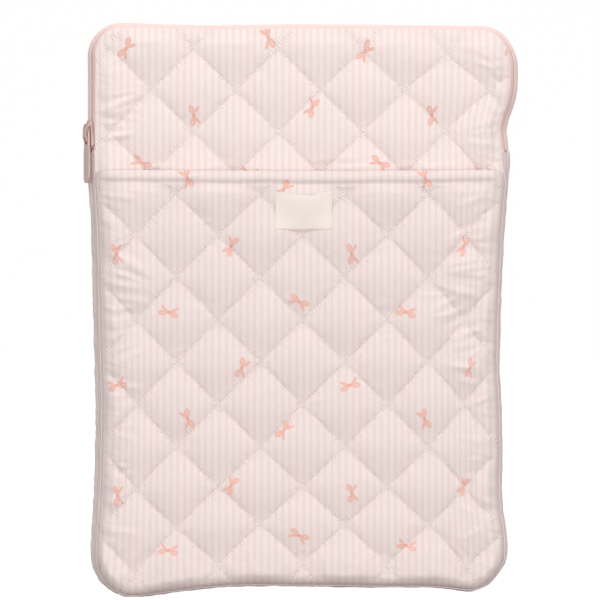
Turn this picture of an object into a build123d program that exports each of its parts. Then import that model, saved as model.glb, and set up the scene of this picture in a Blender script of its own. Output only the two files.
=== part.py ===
from build123d import *
import math
import os

os.makedirs("parts", exist_ok=True)

# Laptop sleeve standing upright: front faces -Y, +X to the right, +Z up, millimetres.
# Built about the middle of the laptop space, then shifted so the origin is the
# bottom centre of the whole box (see the end).

# ---- driving dimensions -------------------------------------------------
HALF_TOP = 131.0        # half width from z 250 up
HALF_BOTTOM = 126.5     # half width at the bottom edge
SHOULDER_Z = 250.0      # where the sides start to narrow downwards
HEIGHT = 350.0
R_TOP = 24.0            # corner radii of the outline
R_BOTTOM = 30.0
R_SIDE = 500.0          # eases the band round the slight bend at the shoulder

CAVITY_Y = 6.5          # half depth of the laptop space
LINING = 0.3            # lining cloth
CLOTH = 0.35            # printed face cloth
RING_Y = 8.0            # the edge band runs from -8 to +8
PANEL_Y = 10.9          # outer face of the front and back panels
SEAM_IN = 5.0           # seam line, inside the silhouette

FOLD_Z = 294.0          # the upper front folds forward about this line
FOLD_GAP = 0.2
ZIP_END_Z = 271.0       # both ends of the zip
HEM_Z = 258.8           # top edge of the front pocket

POCKET_BACK = 15.3      # depth of the inside face of the pocket panel
POCKET_Y = 18.9         # its outer face
POCKET_IN = 11.5        # side margin of the pocket space

QUILT_PITCH = 51.4      # width of one quilted diamond
THREAD_W = 0.5
THREAD_T = 0.12

LABEL_W, LABEL_H, LABEL_T = 34.6, 23.1, 0.5
LABEL_X, LABEL_Z = 0.6, 235.2

SLIDER_Z0 = 273.4       # slider on the left side at the closed end
SLIDER_LEN = 17.0


# ---- outline helpers ----------------------------------------------------
def front_plane(y):
    """Sketch plane at a depth y, seen from the front: local x is +X, local y is +Z."""
    return Plane(origin=(0, y, 0), x_dir=(1, 0, 0), z_dir=(0, -1, 0))


def side_x(inset, z):
    if z >= SHOULDER_Z:
        return HALF_TOP - inset
    return HALF_BOTTOM + (HALF_TOP - HALF_BOTTOM) * z / SHOULDER_Z - inset


def lower_outline(inset, z_top):
    """Bottom corners round, open straight top edge at z_top."""
    xb, xt = side_x(inset, inset), HALF_TOP - inset
    pts = [(-xb, inset), (xb, inset), (xt, SHOULDER_Z), (xt, z_top), (-xt, z_top), (-xt, SHOULDER_Z)]
    rad = [R_BOTTOM - inset, R_BOTTOM - inset, 0, 0, 0, 0]
    return pts, rad


def upper_outline(inset, z_low):
    xt = HALF_TOP - inset
    pts = [(-xt, z_low), (xt, z_low), (xt, HEIGHT - inset), (-xt, HEIGHT - inset)]
    rad = [0, 0, max(R_TOP - inset, 1.5), max(R_TOP - inset, 1.5)]
    return pts, rad


def full_outline(inset, _unused=None):
    xb, xt = side_x(inset, inset), HALF_TOP - inset
    pts = [(-xb, inset), (xb, inset), (xt, SHOULDER_Z), (xt, HEIGHT - inset),
           (-xt, HEIGHT - inset), (-xt, SHOULDER_Z)]
    rt = max(R_TOP - inset, 1.5)
    rad = [R_BOTTOM - inset, R_BOTTOM - inset, 0, rt, rt, 0]
    return pts, rad


def section(kind, inset, y, edge=None):
    """One closed outline face at depth y."""
    pts, rad = kind(inset, edge)
    with BuildSketch(front_plane(y)) as sk:
        with BuildLine():
            FilletPolyline(*pts, radius=rad, close=True)
        make_face()
    return sk.sketch


def slab(kind, inset, y0, y1, edge=None):
    """Straight slab of one outline between two depths."""
    with BuildPart() as p:
        with BuildSketch(front_plane(y0)):
            with BuildLine():
                pts, rad = kind(inset, edge)
                FilletPolyline(*pts, radius=rad, close=True)
            make_face()
        extrude(amount=y0 - y1)
    return p.part


def dome(kind, steps, edge=None):
    """Stack of ruled lofts through (inset, depth) steps."""
    with BuildPart() as p:
        for inset, y in steps:
            with BuildSketch(front_plane(y)):
                with BuildLine():
                    pts, rad = kind(inset, edge)
                    FilletPolyline(*pts, radius=rad, close=True)
                make_face()
        loft(ruled=True)
    return p.part


def padded_panel(kind, sign, edge=None):
    """Outer solid, wadding core and lining sheet of one quilted panel."""
    s = sign
    with BuildPart() as outer:
        add(slab(kind, 7.5, s * (CAVITY_Y + LINING), s * RING_Y, edge))
        add(dome(kind, [(SEAM_IN, s * RING_Y), (12.0, s * 10.0), (20.0, s * PANEL_Y)], edge))
    with BuildPart() as core:
        add(slab(kind, 7.9, s * (CAVITY_Y + LINING), s * (RING_Y + CLOTH), edge))
        add(dome(kind, [(6.6, s * (RING_Y + CLOTH)), (12.1, s * (10.0 - CLOTH)),
                        (20.1, s * (PANEL_Y - CLOTH))], edge))
    return outer.part, core.part


# ---- cross-section of the edge band ------------------------------------
# s is the distance in from the silhouette, y the depth. The band runs from the
# front seam F up a 30 degree facet that carries the zip, round the side, and
# back to the rear seam B.
FRONT_SEAM = (SEAM_IN, -RING_Y)
TILT = math.radians(30)
FACET = 10.0
ALONG = (-math.sin(TILT), math.cos(TILT))       # from F towards the silhouette
OUT = (-math.cos(TILT), -math.sin(TILT))        # outward normal of the facet
CORNER = (0.0, FRONT_SEAM[1] + FACET * ALONG[1])
BACK_CHAIN = [CORNER, (0.0, 3.2), (1.8, 5.6), (SEAM_IN, RING_Y)]


def on_facet(d, n):
    return (FRONT_SEAM[0] + d * ALONG[0] + n * OUT[0], FRONT_SEAM[1] + d * ALONG[1] + n * OUT[1])


def offset_chain(pts, n):
    """Mitred offset of a chain; positive n is outward (away from the laptop)."""
    out = []
    for i, p in enumerate(pts):
        dirs = []
        if i > 0:
            q = pts[i - 1]
            l = math.hypot(p[0] - q[0], p[1] - q[1])
            dirs.append(((p[0] - q[0]) / l, (p[1] - q[1]) / l))
        if i < len(pts) - 1:
            q = pts[i + 1]
            l = math.hypot(q[0] - p[0], q[1] - p[1])
            dirs.append(((q[0] - p[0]) / l, (q[1] - p[1]) / l))
        norms = [(-d[1], d[0]) for d in dirs]
        if len(norms) == 1:
            m = norms[0]
            k = 1.0
        else:
            m = (norms[0][0] + norms[1][0], norms[0][1] + norms[1][1])
            l = math.hypot(*m)
            m = (m[0] / l, m[1] / l)
            k = 1.0 / (m[0] * norms[0][0] + m[1] * norms[0][1])
        out.append((p[0] + m[0] * n * k, p[1] + m[1] * n * k))
    return out


def trim_y(p, q, y):
    """Point of the line p-q at depth y."""
    t = (y - p[1]) / (q[1] - p[1])
    return (p[0] + t * (q[0] - p[0]), y)


def band_polygon(d0, n0, n1):
    """Strip of the band from facet distance d0 to the rear seam, between offsets n0 and n1."""
    chain = [on_facet(d0, 0)] + BACK_CHAIN
    a, b = offset_chain(chain, n0), offset_chain(chain, n1)
    a[-1] = trim_y(a[-2], a[-1], RING_Y)
    b[-1] = trim_y(b[-2], b[-1], RING_Y)
    if d0 <= 0:
        a[0] = trim_y(a[0], a[1], -RING_Y)
        b[0] = trim_y(b[0], b[1], -RING_Y)
    return a + b[::-1]


def facet_polygon(d0, d1, n0, n1):
    """Strip of the facet alone; at d0 = 0 it is trimmed flush with the panel."""
    k = math.tan(TILT) if d0 <= 0 else 0.0
    return [on_facet(d0 + k * n1, n1), on_facet(d1, n1), on_facet(d1, n0), on_facet(d0 + k * n0, n0)]


def arch_path(z0):
    """Up the left side, over the top, down the right side, ending at height z0."""
    with BuildLine(Plane(origin=(0, 0, 0), x_dir=(1, 0, 0), z_dir=(0, -1, 0))) as ln:
        FilletPolyline((-HALF_TOP, z0), (-HALF_TOP, HEIGHT), (HALF_TOP, HEIGHT), (HALF_TOP, z0),
                       radius=R_TOP)
    return ln.line


def u_path(z0):
    """Down the left side, along the bottom, up the right side, from height z0."""
    with BuildLine(Plane(origin=(0, 0, 0), x_dir=(1, 0, 0), z_dir=(0, -1, 0))) as ln:
        FilletPolyline((-HALF_TOP, z0), (-HALF_TOP, SHOULDER_Z), (-HALF_BOTTOM, 0), (HALF_BOTTOM, 0),
                       (HALF_TOP, SHOULDER_Z), (HALF_TOP, z0),
                       radius=[R_SIDE, R_BOTTOM, R_BOTTOM, R_SIDE])
    return ln.line


def left_plane(z):
    return Plane(origin=(-HALF_TOP, 0, z), x_dir=(1, 0, 0), z_dir=(0, 0, 1))


def swept(poly, path, z):
    with BuildPart() as p:
        with BuildSketch(left_plane(z)) as sk:
            Polygon(*poly, align=None)
        sweep(sections=sk.sketch, path=path)
    return p.part


def straight(poly, z0, z1, right=False):
    """The same strip along a straight stretch of one side."""
    with BuildPart() as p:
        if right:
            pl = Plane(origin=(HALF_TOP, 0, z0), x_dir=(-1, 0, 0), z_dir=(0, 0, -1))
        else:
            pl = left_plane(z0)
        with BuildSketch(pl):
            Polygon(*poly, align=None)
        extrude(amount=-(z1 - z0) if right else (z1 - z0))
    return p.part


parts = {}

# ---- back panel ---------------------------------------------------------
back_outer, back_core = padded_panel(full_outline, 1)

with BuildPart() as back_wadding:
    add(back_core)
with BuildPart() as back_lining:
    add(slab(full_outline, 7.5, CAVITY_Y, CAVITY_Y + LINING))

# ---- front panel below the fold ----------------------------------------
front_top = FOLD_Z - FOLD_GAP
front_outer, front_core = padded_panel(lower_outline, -1, front_top)

with BuildPart() as front_wadding:
    add(front_core)
with BuildPart() as front_lining:
    add(slab(lower_outline, 7.5, -CAVITY_Y, -(CAVITY_Y + LINING), front_top))

# ---- upper front, above the fold ---------------------------------------
flap_low = FOLD_Z + FOLD_GAP
flap_outer, flap_core = padded_panel(upper_outline, -1, flap_low)

with BuildPart() as flap_wadding:
    add(flap_core)
with BuildPart() as flap_lining:
    add(slab(upper_outline, 7.5, -CAVITY_Y, -(CAVITY_Y + LINING), flap_low))

# ---- front pocket -------------------------------------------------------
pocket_top = HEM_Z - 0.8
with BuildPart() as pocket_room:
    add(slab(lower_outline, POCKET_IN, -RING_Y, -(POCKET_BACK + LINING), HEM_Z + 5))
pocket_skin = [(5.1, -8.05), (6.6, -12.4), (11.5, -16.6), (20.0, -POCKET_Y)]
pocket_core = [(5.5, -8.0), (7.0, -12.25), (11.7, -16.25), (20.1, -(POCKET_Y - CLOTH))]
with BuildPart() as pocket_cutter:
    add(slab(lower_outline, 4.0, -7.0, -8.04, FOLD_Z))
    add(dome(lower_outline, [(4.99, -8.04), (12.0, -10.0), (20.0, -PANEL_Y)], FOLD_Z))
    add(pocket_room.part)
with BuildPart() as pocket_solid:
    add(dome(lower_outline, pocket_skin, pocket_top))
    add(pocket_cutter.part, mode=Mode.SUBTRACT)
with BuildPart() as pocket_wadding:
    add(dome(lower_outline, pocket_core, pocket_top))
    add(pocket_cutter.part, mode=Mode.SUBTRACT)
with BuildPart() as pocket_lining:
    add(slab(lower_outline, POCKET_IN + 0.1, -POCKET_BACK, -(POCKET_BACK + LINING), pocket_top))

# hem band folded over the mouth of the pocket
with BuildPart() as pocket_hem_band:
    add(dome(lower_outline, [(5.1, -8.05), (6.2, -12.6), (11.3, -17.0), (20.0, -(POCKET_Y + 0.35))], HEM_Z))
    with BuildPart(mode=Mode.INTERSECT):
        with Locations((0, -14, (HEM_Z + 252.6) / 2)):
            Box(300, 20, HEM_Z - 252.6)
    add(pocket_cutter.part, mode=Mode.SUBTRACT)
    add(dome(lower_outline, pocket_skin, pocket_top), mode=Mode.SUBTRACT)

with BuildPart() as pocket_hem_stitching:
    with BuildSketch(front_plane(-(POCKET_Y + 0.35))):
        with Locations((0, 254.0)):
            Rectangle(2 * (HALF_TOP - 21), THREAD_W)
    extrude(amount=0.15)

# ---- woven label --------------------------------------------------------
with BuildPart() as woven_label:
    with BuildSketch(front_plane(-POCKET_Y)):
        with Locations((LABEL_X, LABEL_Z)):
            Rectangle(LABEL_W, LABEL_H)
    extrude(amount=LABEL_T)
with BuildPart() as label_stitching:
    with BuildSketch(front_plane(-(POCKET_Y + LABEL_T))):
        with Locations((LABEL_X, LABEL_Z)):
            Rectangle(LABEL_W - 2.0, LABEL_H - 2.0)
            Rectangle(LABEL_W - 2.8, LABEL_H - 2.8, mode=Mode.SUBTRACT)
    extrude(amount=0.15)


# ---- quilting thread ----------------------------------------------------
def quilting(y, sign, x0, z0, zlo, zhi, outline_kind, keep_out=None):
    """Diagonal lattice of stitched thread through (x0, z0) on the flat of a panel."""
    with BuildPart() as p:
        pl = Plane(origin=(0, y, 0), x_dir=(1, 0, 0), z_dir=(0, -1, 0))
        with BuildSketch(pl) as sk:
            for k in range(-9, 10):
                for a in (45, -45):
                    with Locations(Location((x0 + k * QUILT_PITCH, z0, 0), (0, 0, a))):
                        Rectangle(1200, THREAD_W)
            with BuildLine():
                pts, rad = outline_kind(20.6, front_top)
                FilletPolyline(*pts, radius=rad, close=True)
            make_face(mode=Mode.INTERSECT)
            with Locations((0, (zlo + zhi) / 2)):
                Rectangle(400, zhi - zlo, mode=Mode.INTERSECT)
            if keep_out:
                kx, kz, kw, kh = keep_out
                with Locations((kx, kz)):
                    Rectangle(kw, kh, mode=Mode.SUBTRACT)
        extrude(amount=THREAD_T * (-1 if sign < 0 else 1))
    return p.part


with BuildPart() as back_quilting_thread:
    add(quilting(PANEL_Y, 1, 0.0, 220.0, 20.6, HEIGHT - 20.6, full_outline))
with BuildPart() as pocket_quilting_thread:
    add(quilting(-POCKET_Y, -1, 0.2, 220.0, 20.6, 252.0, lower_outline,
                 (LABEL_X, LABEL_Z, LABEL_W + 1, LABEL_H + 1)))
with BuildPart() as front_quilting_thread:
    add(quilting(-PANEL_Y, -1, 10.9, 308.7, 262.0, front_top - 1.0, lower_outline))
with BuildPart() as flap_quilting_thread:
    with BuildSketch(front_plane(-PANEL_Y)):
        for k in range(-9, 10):
            for a in (45, -45):
                with Locations(Location((10.9 + k * QUILT_PITCH, 308.7, 0), (0, 0, a))):
                    Rectangle(1200, THREAD_W)
        with Locations((0, (FOLD_Z + 2 + HEIGHT - 20.6) / 2)):
            Rectangle(2 * (HALF_TOP - 20.6), HEIGHT - 20.6 - FOLD_Z - 2, mode=Mode.INTERSECT)
    extrude(amount=-THREAD_T)

# the thread lies in grooves of the face cloth, flush with it
with BuildPart() as back_face_fabric:
    add(back_outer)
    add(back_core, mode=Mode.SUBTRACT)
    add(back_quilting_thread.part, mode=Mode.SUBTRACT)
with BuildPart() as front_face_fabric:
    add(front_outer)
    add(front_core, mode=Mode.SUBTRACT)
    add(front_quilting_thread.part, mode=Mode.SUBTRACT)
with BuildPart() as flap_face_fabric:
    add(flap_outer)
    add(flap_core, mode=Mode.SUBTRACT)
    add(flap_quilting_thread.part, mode=Mode.SUBTRACT)
with BuildPart() as pocket_face_fabric:
    add(dome(lower_outline, pocket_skin, pocket_top))
    add(dome(lower_outline, pocket_core, pocket_top + 2), mode=Mode.SUBTRACT)
    add(pocket_cutter.part, mode=Mode.SUBTRACT)
    add(pocket_quilting_thread.part, mode=Mode.SUBTRACT)

# ---- edge band below the zip -------------------------------------------
gusset_z = ZIP_END_Z
with BuildPart() as side_gusset:
    add(swept(band_polygon(0, -0.9, 0.0), u_path(gusset_z), gusset_z))
with BuildPart() as gusset_lining:
    add(swept(band_polygon(0, -1.4, -0.9), u_path(gusset_z), gusset_z))

# ---- zip ----------------------------------------------------------------
COIL_IN, COIL_OUT = 0.45, 2.1          # each half of the coil, either side of the centre
d_c = FACET / 2
with BuildPart() as zip_tape_back:
    add(swept(band_polygon(d_c + COIL_OUT, -0.6, 0.0), arch_path(ZIP_END_Z), ZIP_END_Z))
with BuildPart() as zip_coil_back:
    add(swept(facet_polygon(d_c + COIL_IN, d_c + COIL_OUT, -1.2, 0.6), arch_path(ZIP_END_Z + 1.8),
              ZIP_END_Z + 1.8))
with BuildPart() as zip_tape_front:
    add(swept(facet_polygon(0, d_c - COIL_OUT, -0.6, 0.0), arch_path(flap_low), flap_low))
with BuildPart() as zip_coil_front:
    add(swept(facet_polygon(d_c - COIL_OUT, d_c - COIL_IN, -1.2, 0.6), arch_path(flap_low), flap_low))
with BuildPart() as zip_tape_end_left:
    add(straight(facet_polygon(0, d_c - COIL_OUT, -0.6, 0.0), ZIP_END_Z, front_top))
with BuildPart() as zip_tape_end_right:
    add(straight(facet_polygon(0, d_c - COIL_OUT, -0.6, 0.0), ZIP_END_Z, front_top, right=True))
with BuildPart() as zip_coil_end_left:
    add(straight(facet_polygon(d_c - COIL_OUT, d_c - COIL_IN, -1.2, 0.6), ZIP_END_Z + 1.8, front_top))
with BuildPart() as zip_coil_end_right:
    add(straight(facet_polygon(d_c - COIL_OUT, d_c - COIL_IN, -1.2, 0.6), ZIP_END_Z + 1.8, front_top,
                 right=True))
with BuildPart() as zip_stop_left:
    add(straight(facet_polygon(d_c - 2.0, d_c + 2.0, -1.4, 0.8), ZIP_END_Z + 0.2, ZIP_END_Z + 1.8))
with BuildPart() as zip_stop_right:
    add(straight(facet_polygon(d_c - 2.0, d_c + 2.0, -1.4, 0.8), ZIP_END_Z + 0.2, ZIP_END_Z + 1.8,
                 right=True))

# ---- inside seam bindings ----------------------------------------------
BIND_IN, BIND_OUT, BIND_T = 11.4, 7.6, 0.8
with BuildPart() as back_seam_binding:
    add(slab(full_outline, BIND_OUT, CAVITY_Y - BIND_T, CAVITY_Y))
    add(slab(full_outline, BIND_IN, CAVITY_Y - BIND_T - 1, CAVITY_Y + 1), mode=Mode.SUBTRACT)
with BuildPart() as front_seam_binding:
    add(slab(lower_outline, BIND_OUT, -(CAVITY_Y - BIND_T), -CAVITY_Y, front_top))
    add(slab(lower_outline, BIND_IN, -(CAVITY_Y - BIND_T - 1), -(CAVITY_Y + 1), front_top + 5),
        mode=Mode.SUBTRACT)
with BuildPart() as flap_seam_binding:
    add(slab(upper_outline, BIND_OUT, -(CAVITY_Y - BIND_T), -CAVITY_Y, flap_low))
    add(slab(upper_outline, BIND_IN, -(CAVITY_Y - BIND_T - 1), -(CAVITY_Y + 1), flap_low - 5),
        mode=Mode.SUBTRACT)

# ---- zip slider ---------------------------------------------------------
# Local frame on the left facet: x along the band towards the front, y up, z outward.
cx, cy = on_facet(d_c, -0.3)
SLIDER_AXIS = (-HALF_TOP + cx, cy)
S_OUT = (-math.cos(TILT), -math.sin(TILT), 0)
S_T = (math.sin(TILT), -math.cos(TILT), 0)


def slider_plane(n):
    return Plane(origin=(SLIDER_AXIS[0] + n * S_OUT[0], SLIDER_AXIS[1] + n * S_OUT[1], 0),
                 x_dir=S_T, z_dir=S_OUT)


z0, z1 = SLIDER_Z0, SLIDER_Z0 + SLIDER_LEN
zm = (z0 + z1) / 2
with BuildPart() as slider_body:
    # outer plate: broad shoulders at the open end, narrower at the closed end
    with BuildSketch(slider_plane(1.3)):
        with BuildLine():
            FilletPolyline((-4.4, z0 + 1.6), (-2.2, z0), (2.2, z0), (4.4, z0 + 1.6), (4.3, z0 + 8.5),
                           (3.1, z1 - 2.0), (2.2, z1), (-2.2, z1), (-3.1, z1 - 2.0), (-4.3, z0 + 8.5),
                           radius=0.8, close=True)
        make_face()
    extrude(amount=1.3)
    fillet(slider_body.faces().sort_by(Axis(origin=(0, 0, 0), direction=S_OUT))[-1].edges(), 0.45)
    # inner plate
    with BuildSketch(slider_plane(-2.4)):
        with BuildLine():
            FilletPolyline((-3.3, z0 + 1.6), (-1.8, z0 + 0.3), (1.8, z0 + 0.3), (3.3, z0 + 1.6),
                           (3.2, z0 + 8.5), (2.6, z1 - 2.2), (1.8, z1 - 0.4), (-1.8, z1 - 0.4),
                           (-2.6, z1 - 2.2), (-3.2, z0 + 8.5), radius=0.6, close=True)
        make_face()
    extrude(amount=1.1)
    # turned-in edges of both plates, clear of the tape
    for sgn in (-1, 1):
        with BuildSketch(slider_plane(0.75)):
            with BuildLine():
                Polyline((sgn * 3.75, z0 + 2.4), (sgn * 4.3, z0 + 2.4), (sgn * 4.25, z0 + 8.5),
                         (sgn * 3.7, z0 + 8.5), close=True)
            make_face()
        extrude(amount=0.7)
        with BuildSketch(slider_plane(-1.4)):
            with BuildLine():
                Polyline((sgn * 2.7, z0 + 2.4), (sgn * 3.2, z0 + 2.4), (sgn * 3.15, z0 + 8.5),
                         (sgn * 2.65, z0 + 8.5), close=True)
            make_face()
        extrude(amount=0.45)
    # post that joins the plates between the two halves of the coil
    with BuildSketch(slider_plane(-1.5)):
        with Locations((0, z0 + 3.0)):
            SlotOverall(4.4, 0.72, rotation=90)
    extrude(amount=3.0)

with BuildPart() as slider_bridge:
    # arched crown over the outer plate that holds the pull
    with BuildSketch(Plane(origin=(SLIDER_AXIS[0], SLIDER_AXIS[1], 0), x_dir=S_OUT,
                           z_dir=(-S_T[0], -S_T[1], 0))) as side:
        with BuildLine():
            FilletPolyline((2.6, z0 + 3.4), (4.7, z0 + 4.0), (5.8, z0 + 6.8), (5.8, z0 + 12.2),
                           (4.7, z0 + 14.8), (2.6, z0 + 15.6), (2.6, z0 + 13.7), (3.9, z0 + 13.2),
                           (4.62, z0 + 11.6), (4.62, z0 + 7.4), (3.9, z0 + 5.8), (2.6, z0 + 5.3),
                           radius=[0, 0.8, 1.2, 1.2, 0.8, 0, 0, 0.5, 0.7, 0.7, 0.5, 0], close=True)
        make_face()
    extrude(amount=1.3, both=True)

# ---- pull ---------------------------------------------------------------
PIVOT_N, PIVOT_Z = 3.6, z0 + 9.6
with BuildPart() as pull_tab:
    with BuildSketch(slider_plane(PIVOT_N - 0.6)):
        with BuildLine():
            FilletPolyline((-2.7, PIVOT_Z + 0.7), (2.7, PIVOT_Z + 0.7), (2.9, PIVOT_Z - 7.0),
                           (3.5, PIVOT_Z - 12.0), (3.5, PIVOT_Z - 27.5), (2.4, PIVOT_Z - 30.6),
                           (-2.4, PIVOT_Z - 30.6), (-3.5, PIVOT_Z - 27.5), (-3.5, PIVOT_Z - 12.0),
                           (-2.9, PIVOT_Z - 7.0), radius=[0.6, 0.6, 3, 3, 1.5, 1.5, 1.5, 1.5, 3, 3],
                           close=True)
        make_face()
        with Locations((0, PIVOT_Z - 3.9)):
            RectangleRounded(3.6, 6.4, 0.6, mode=Mode.SUBTRACT)
    extrude(amount=1.2)
    fillet(pull_tab.faces().sort_by(Axis(origin=(0, 0, 0), direction=S_OUT))[-1].outer_wire().edges(), 0.35)

names = [
    "back_face_fabric", "back_wadding", "back_lining", "back_quilting_thread", "back_seam_binding",
    "front_face_fabric", "front_wadding", "front_lining", "front_quilting_thread", "front_seam_binding",
    "pocket_face_fabric", "pocket_wadding", "pocket_lining", "pocket_quilting_thread",
    "pocket_hem_band", "pocket_hem_stitching", "woven_label", "label_stitching",
    "side_gusset", "gusset_lining",
    "zip_tape_back", "zip_coil_back", "zip_tape_end_left", "zip_tape_end_right",
    "zip_coil_end_left", "zip_coil_end_right", "zip_stop_left", "zip_stop_right",
    "flap_face_fabric", "flap_wadding", "flap_lining", "flap_quilting_thread", "flap_seam_binding",
    "zip_tape_front", "zip_coil_front",
    "slider_body", "slider_bridge", "pull_tab",
]
built = [
    back_face_fabric, back_wadding, back_lining, back_quilting_thread, back_seam_binding,
    front_face_fabric, front_wadding, front_lining, front_quilting_thread, front_seam_binding,
    pocket_face_fabric, pocket_wadding, pocket_lining, pocket_quilting_thread,
    pocket_hem_band, pocket_hem_stitching, woven_label, label_stitching,
    side_gusset, gusset_lining,
    zip_tape_back, zip_coil_back, zip_tape_end_left, zip_tape_end_right,
    zip_coil_end_left, zip_coil_end_right, zip_stop_left, zip_stop_right,
    flap_face_fabric, flap_wadding, flap_lining, flap_quilting_thread, flap_seam_binding,
    zip_tape_front, zip_coil_front,
    slider_body, slider_bridge, pull_tab,
]

# The row frame: origin at the bottom centre of the whole box.
boxes = [b.part.bounding_box() for b in built]
lo = [min(b.min.X for b in boxes), min(b.min.Y for b in boxes), min(b.min.Z for b in boxes)]
hi = [max(b.max.X for b in boxes), max(b.max.Y for b in boxes), max(b.max.Z for b in boxes)]
shift = Location((-(lo[0] + hi[0]) / 2, -(lo[1] + hi[1]) / 2, -lo[2]))
print("box", [round(v, 4) for v in lo], [round(v, 4) for v in hi])
print("shift", [round(v, 4) for v in shift.position])
print("slider axis point", SLIDER_AXIS, "pivot", slider_plane(PIVOT_N).origin, PIVOT_Z)

for n, b in zip(names, built):
    p = b.part.moved(shift)
    p.label = n
    print(n, "solids", len(p.solids()), "volume", round(p.volume, 2))
    export_step(p, "parts/" + n + ".step")
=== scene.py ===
import math

import bpy
import numpy as np
from mathutils import Matrix, Vector


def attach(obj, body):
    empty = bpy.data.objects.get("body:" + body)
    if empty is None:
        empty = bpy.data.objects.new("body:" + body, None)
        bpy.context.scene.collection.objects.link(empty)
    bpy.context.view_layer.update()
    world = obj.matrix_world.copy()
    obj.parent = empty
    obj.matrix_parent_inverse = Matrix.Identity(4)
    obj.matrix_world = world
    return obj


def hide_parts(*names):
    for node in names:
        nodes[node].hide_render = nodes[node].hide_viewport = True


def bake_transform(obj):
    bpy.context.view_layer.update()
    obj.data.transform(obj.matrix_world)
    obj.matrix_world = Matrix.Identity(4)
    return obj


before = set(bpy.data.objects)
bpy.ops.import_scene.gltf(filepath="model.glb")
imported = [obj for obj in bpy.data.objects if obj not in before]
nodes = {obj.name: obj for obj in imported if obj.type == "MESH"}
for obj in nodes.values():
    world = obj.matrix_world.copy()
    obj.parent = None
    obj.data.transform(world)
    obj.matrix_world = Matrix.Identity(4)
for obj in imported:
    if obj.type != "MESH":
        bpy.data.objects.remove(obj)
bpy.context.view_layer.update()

# ---------------------------------------------------------------------------
# Lengths below are millimetres about the middle of the laptop space (front -y,
# up +z); SHIFT carries them into the row frame.
# ---------------------------------------------------------------------------
SHIFT = np.array([1.4566, 4.325, 0.0])
MM = 0.001
H = 350.0
HW = 131.0
RT, RB = 21.0, 27.0
SEAM = 5.0
FOLD_Z = 294.0
ZIP_END = 271.0
HEM_Z = 258.8
STITCH_Z = 254.0
PITCH = 51.4
G = PITCH / 50.0
PIN = 4.28          # pinstripe period
STITCH = PITCH / math.sqrt(2) / 17


def to_world(p):
    return (np.asarray(p, float) + SHIFT) * MM


# ---- small deterministic noise --------------------------------------------
def hash2(ix, iy, seed):
    n = (ix.astype(np.int64) * 374761393 + iy.astype(np.int64) * 668265263 + seed * 1442695041) & 0x7FFFFFFF
    n = (n ^ (n >> 13)) * 1274126177 & 0x7FFFFFFF
    n = n ^ (n >> 16)
    return (n & 0xFFFFFF) / float(0xFFFFFF) * 2 - 1


def noise2(x, y, seed=0):
    x, y = np.asarray(x, float), np.asarray(y, float)
    ix, iy = np.floor(x), np.floor(y)
    fx, fy = x - ix, y - iy
    fx, fy = fx * fx * fx * (fx * (fx * 6 - 15) + 10), fy * fy * fy * (fy * (fy * 6 - 15) + 10)
    a, b = hash2(ix, iy, seed), hash2(ix + 1, iy, seed)
    c, d = hash2(ix, iy + 1, seed), hash2(ix + 1, iy + 1, seed)
    return (a * (1 - fx) + b * fx) * (1 - fy) + (c * (1 - fx) + d * fx) * fy


def fbm(x, y, seed=0, octaves=3):
    v, amp, tot = 0.0, 1.0, 0.0
    for o in range(octaves):
        v = v + amp * noise2(x * 2 ** o + 17.3 * o, y * 2 ** o - 9.1 * o, seed + o)
        tot += amp
        amp *= 0.5
    return v / tot


def sstep(e0, e1, x):
    t = np.clip((np.asarray(x, float) - e0) / (e1 - e0), 0, 1)
    return t * t * (3 - 2 * t)


# ---- outline: the plain rounded rectangle, then the soft bag's own outline --
def inset_of(x, z):
    """Distance in from the plain outline (positive inside)."""
    x, z = np.asarray(x, float), np.asarray(z, float)
    top = z > H / 2
    r = np.where(top, RT, RB)
    qx = np.abs(x) - (HW - r)
    qz = np.where(top, z - (H - r), (r - z))
    outside = np.hypot(np.maximum(qx, 0), np.maximum(qz, 0)) - r
    return -np.where((qx > 0) & (qz > 0), outside, np.maximum(qx, qz) - r)


LEFT = np.array([  # height mm, left edge mm
    (0, -128.9), (30, -128.8), (44, -128.0), (66, -126.6), (95, -125.8), (124, -125.7), (146, -126.3),
    (168, -127.0), (197, -127.6), (226, -128.5), (245, -129.5), (258, -130.4), (270, -131.0), (300, -131.0),
    (326, -131.0), (338, -131.3), (350, -131.3)])
RIGHT = np.array([
    (0, 122.6), (22, 124.4), (37, 124.0), (52, 121.9), (66, 121.2), (88, 121.6), (102, 121.3), (117, 120.9),
    (139, 119.7), (168, 120.1), (190, 120.9), (212, 121.9), (226, 122.8), (241, 123.8), (256, 125.4),
    (270, 125.9), (279, 125.3), (284, 124.7), (292, 126.2), (299, 128.6), (306, 130.5), (320, 131.5),
    (335, 131.3), (350, 130.6)])
BOTTOM = np.array([
    (-131, 0.4), (-110, 0.3), (-100, 0.6), (-90, 1.8), (-75, 3.7), (-61, 5.4), (-46, 6.6), (0, 6.9), (48, 6.3),
    (78, 6.1), (92, 5.2), (100, 4.4), (114, 3.4), (131, 2.6)])
TOP = np.array([
    (-131, 0.2), (-112, 0.2), (-90, -0.5), (-62, -1.2), (0, -0.7), (60, -1.2), (100, -1.6), (114, -1.9), (131, -2.6)])


def curve1(table, t):
    """Smooth interpolation of a short table."""
    xs, ys = table[:, 0], table[:, 1]
    m = np.gradient(ys, xs)
    i = np.clip(np.searchsorted(xs, t) - 1, 0, len(xs) - 2)
    h = xs[i + 1] - xs[i]
    u = np.clip((t - xs[i]) / h, 0, 1)
    return ((1 + 2 * u) * (1 - u) ** 2 * ys[i] + u * (1 - u) ** 2 * h * m[i]
            + u * u * (3 - 2 * u) * ys[i + 1] + u * u * (u - 1) * h * m[i + 1])


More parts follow.
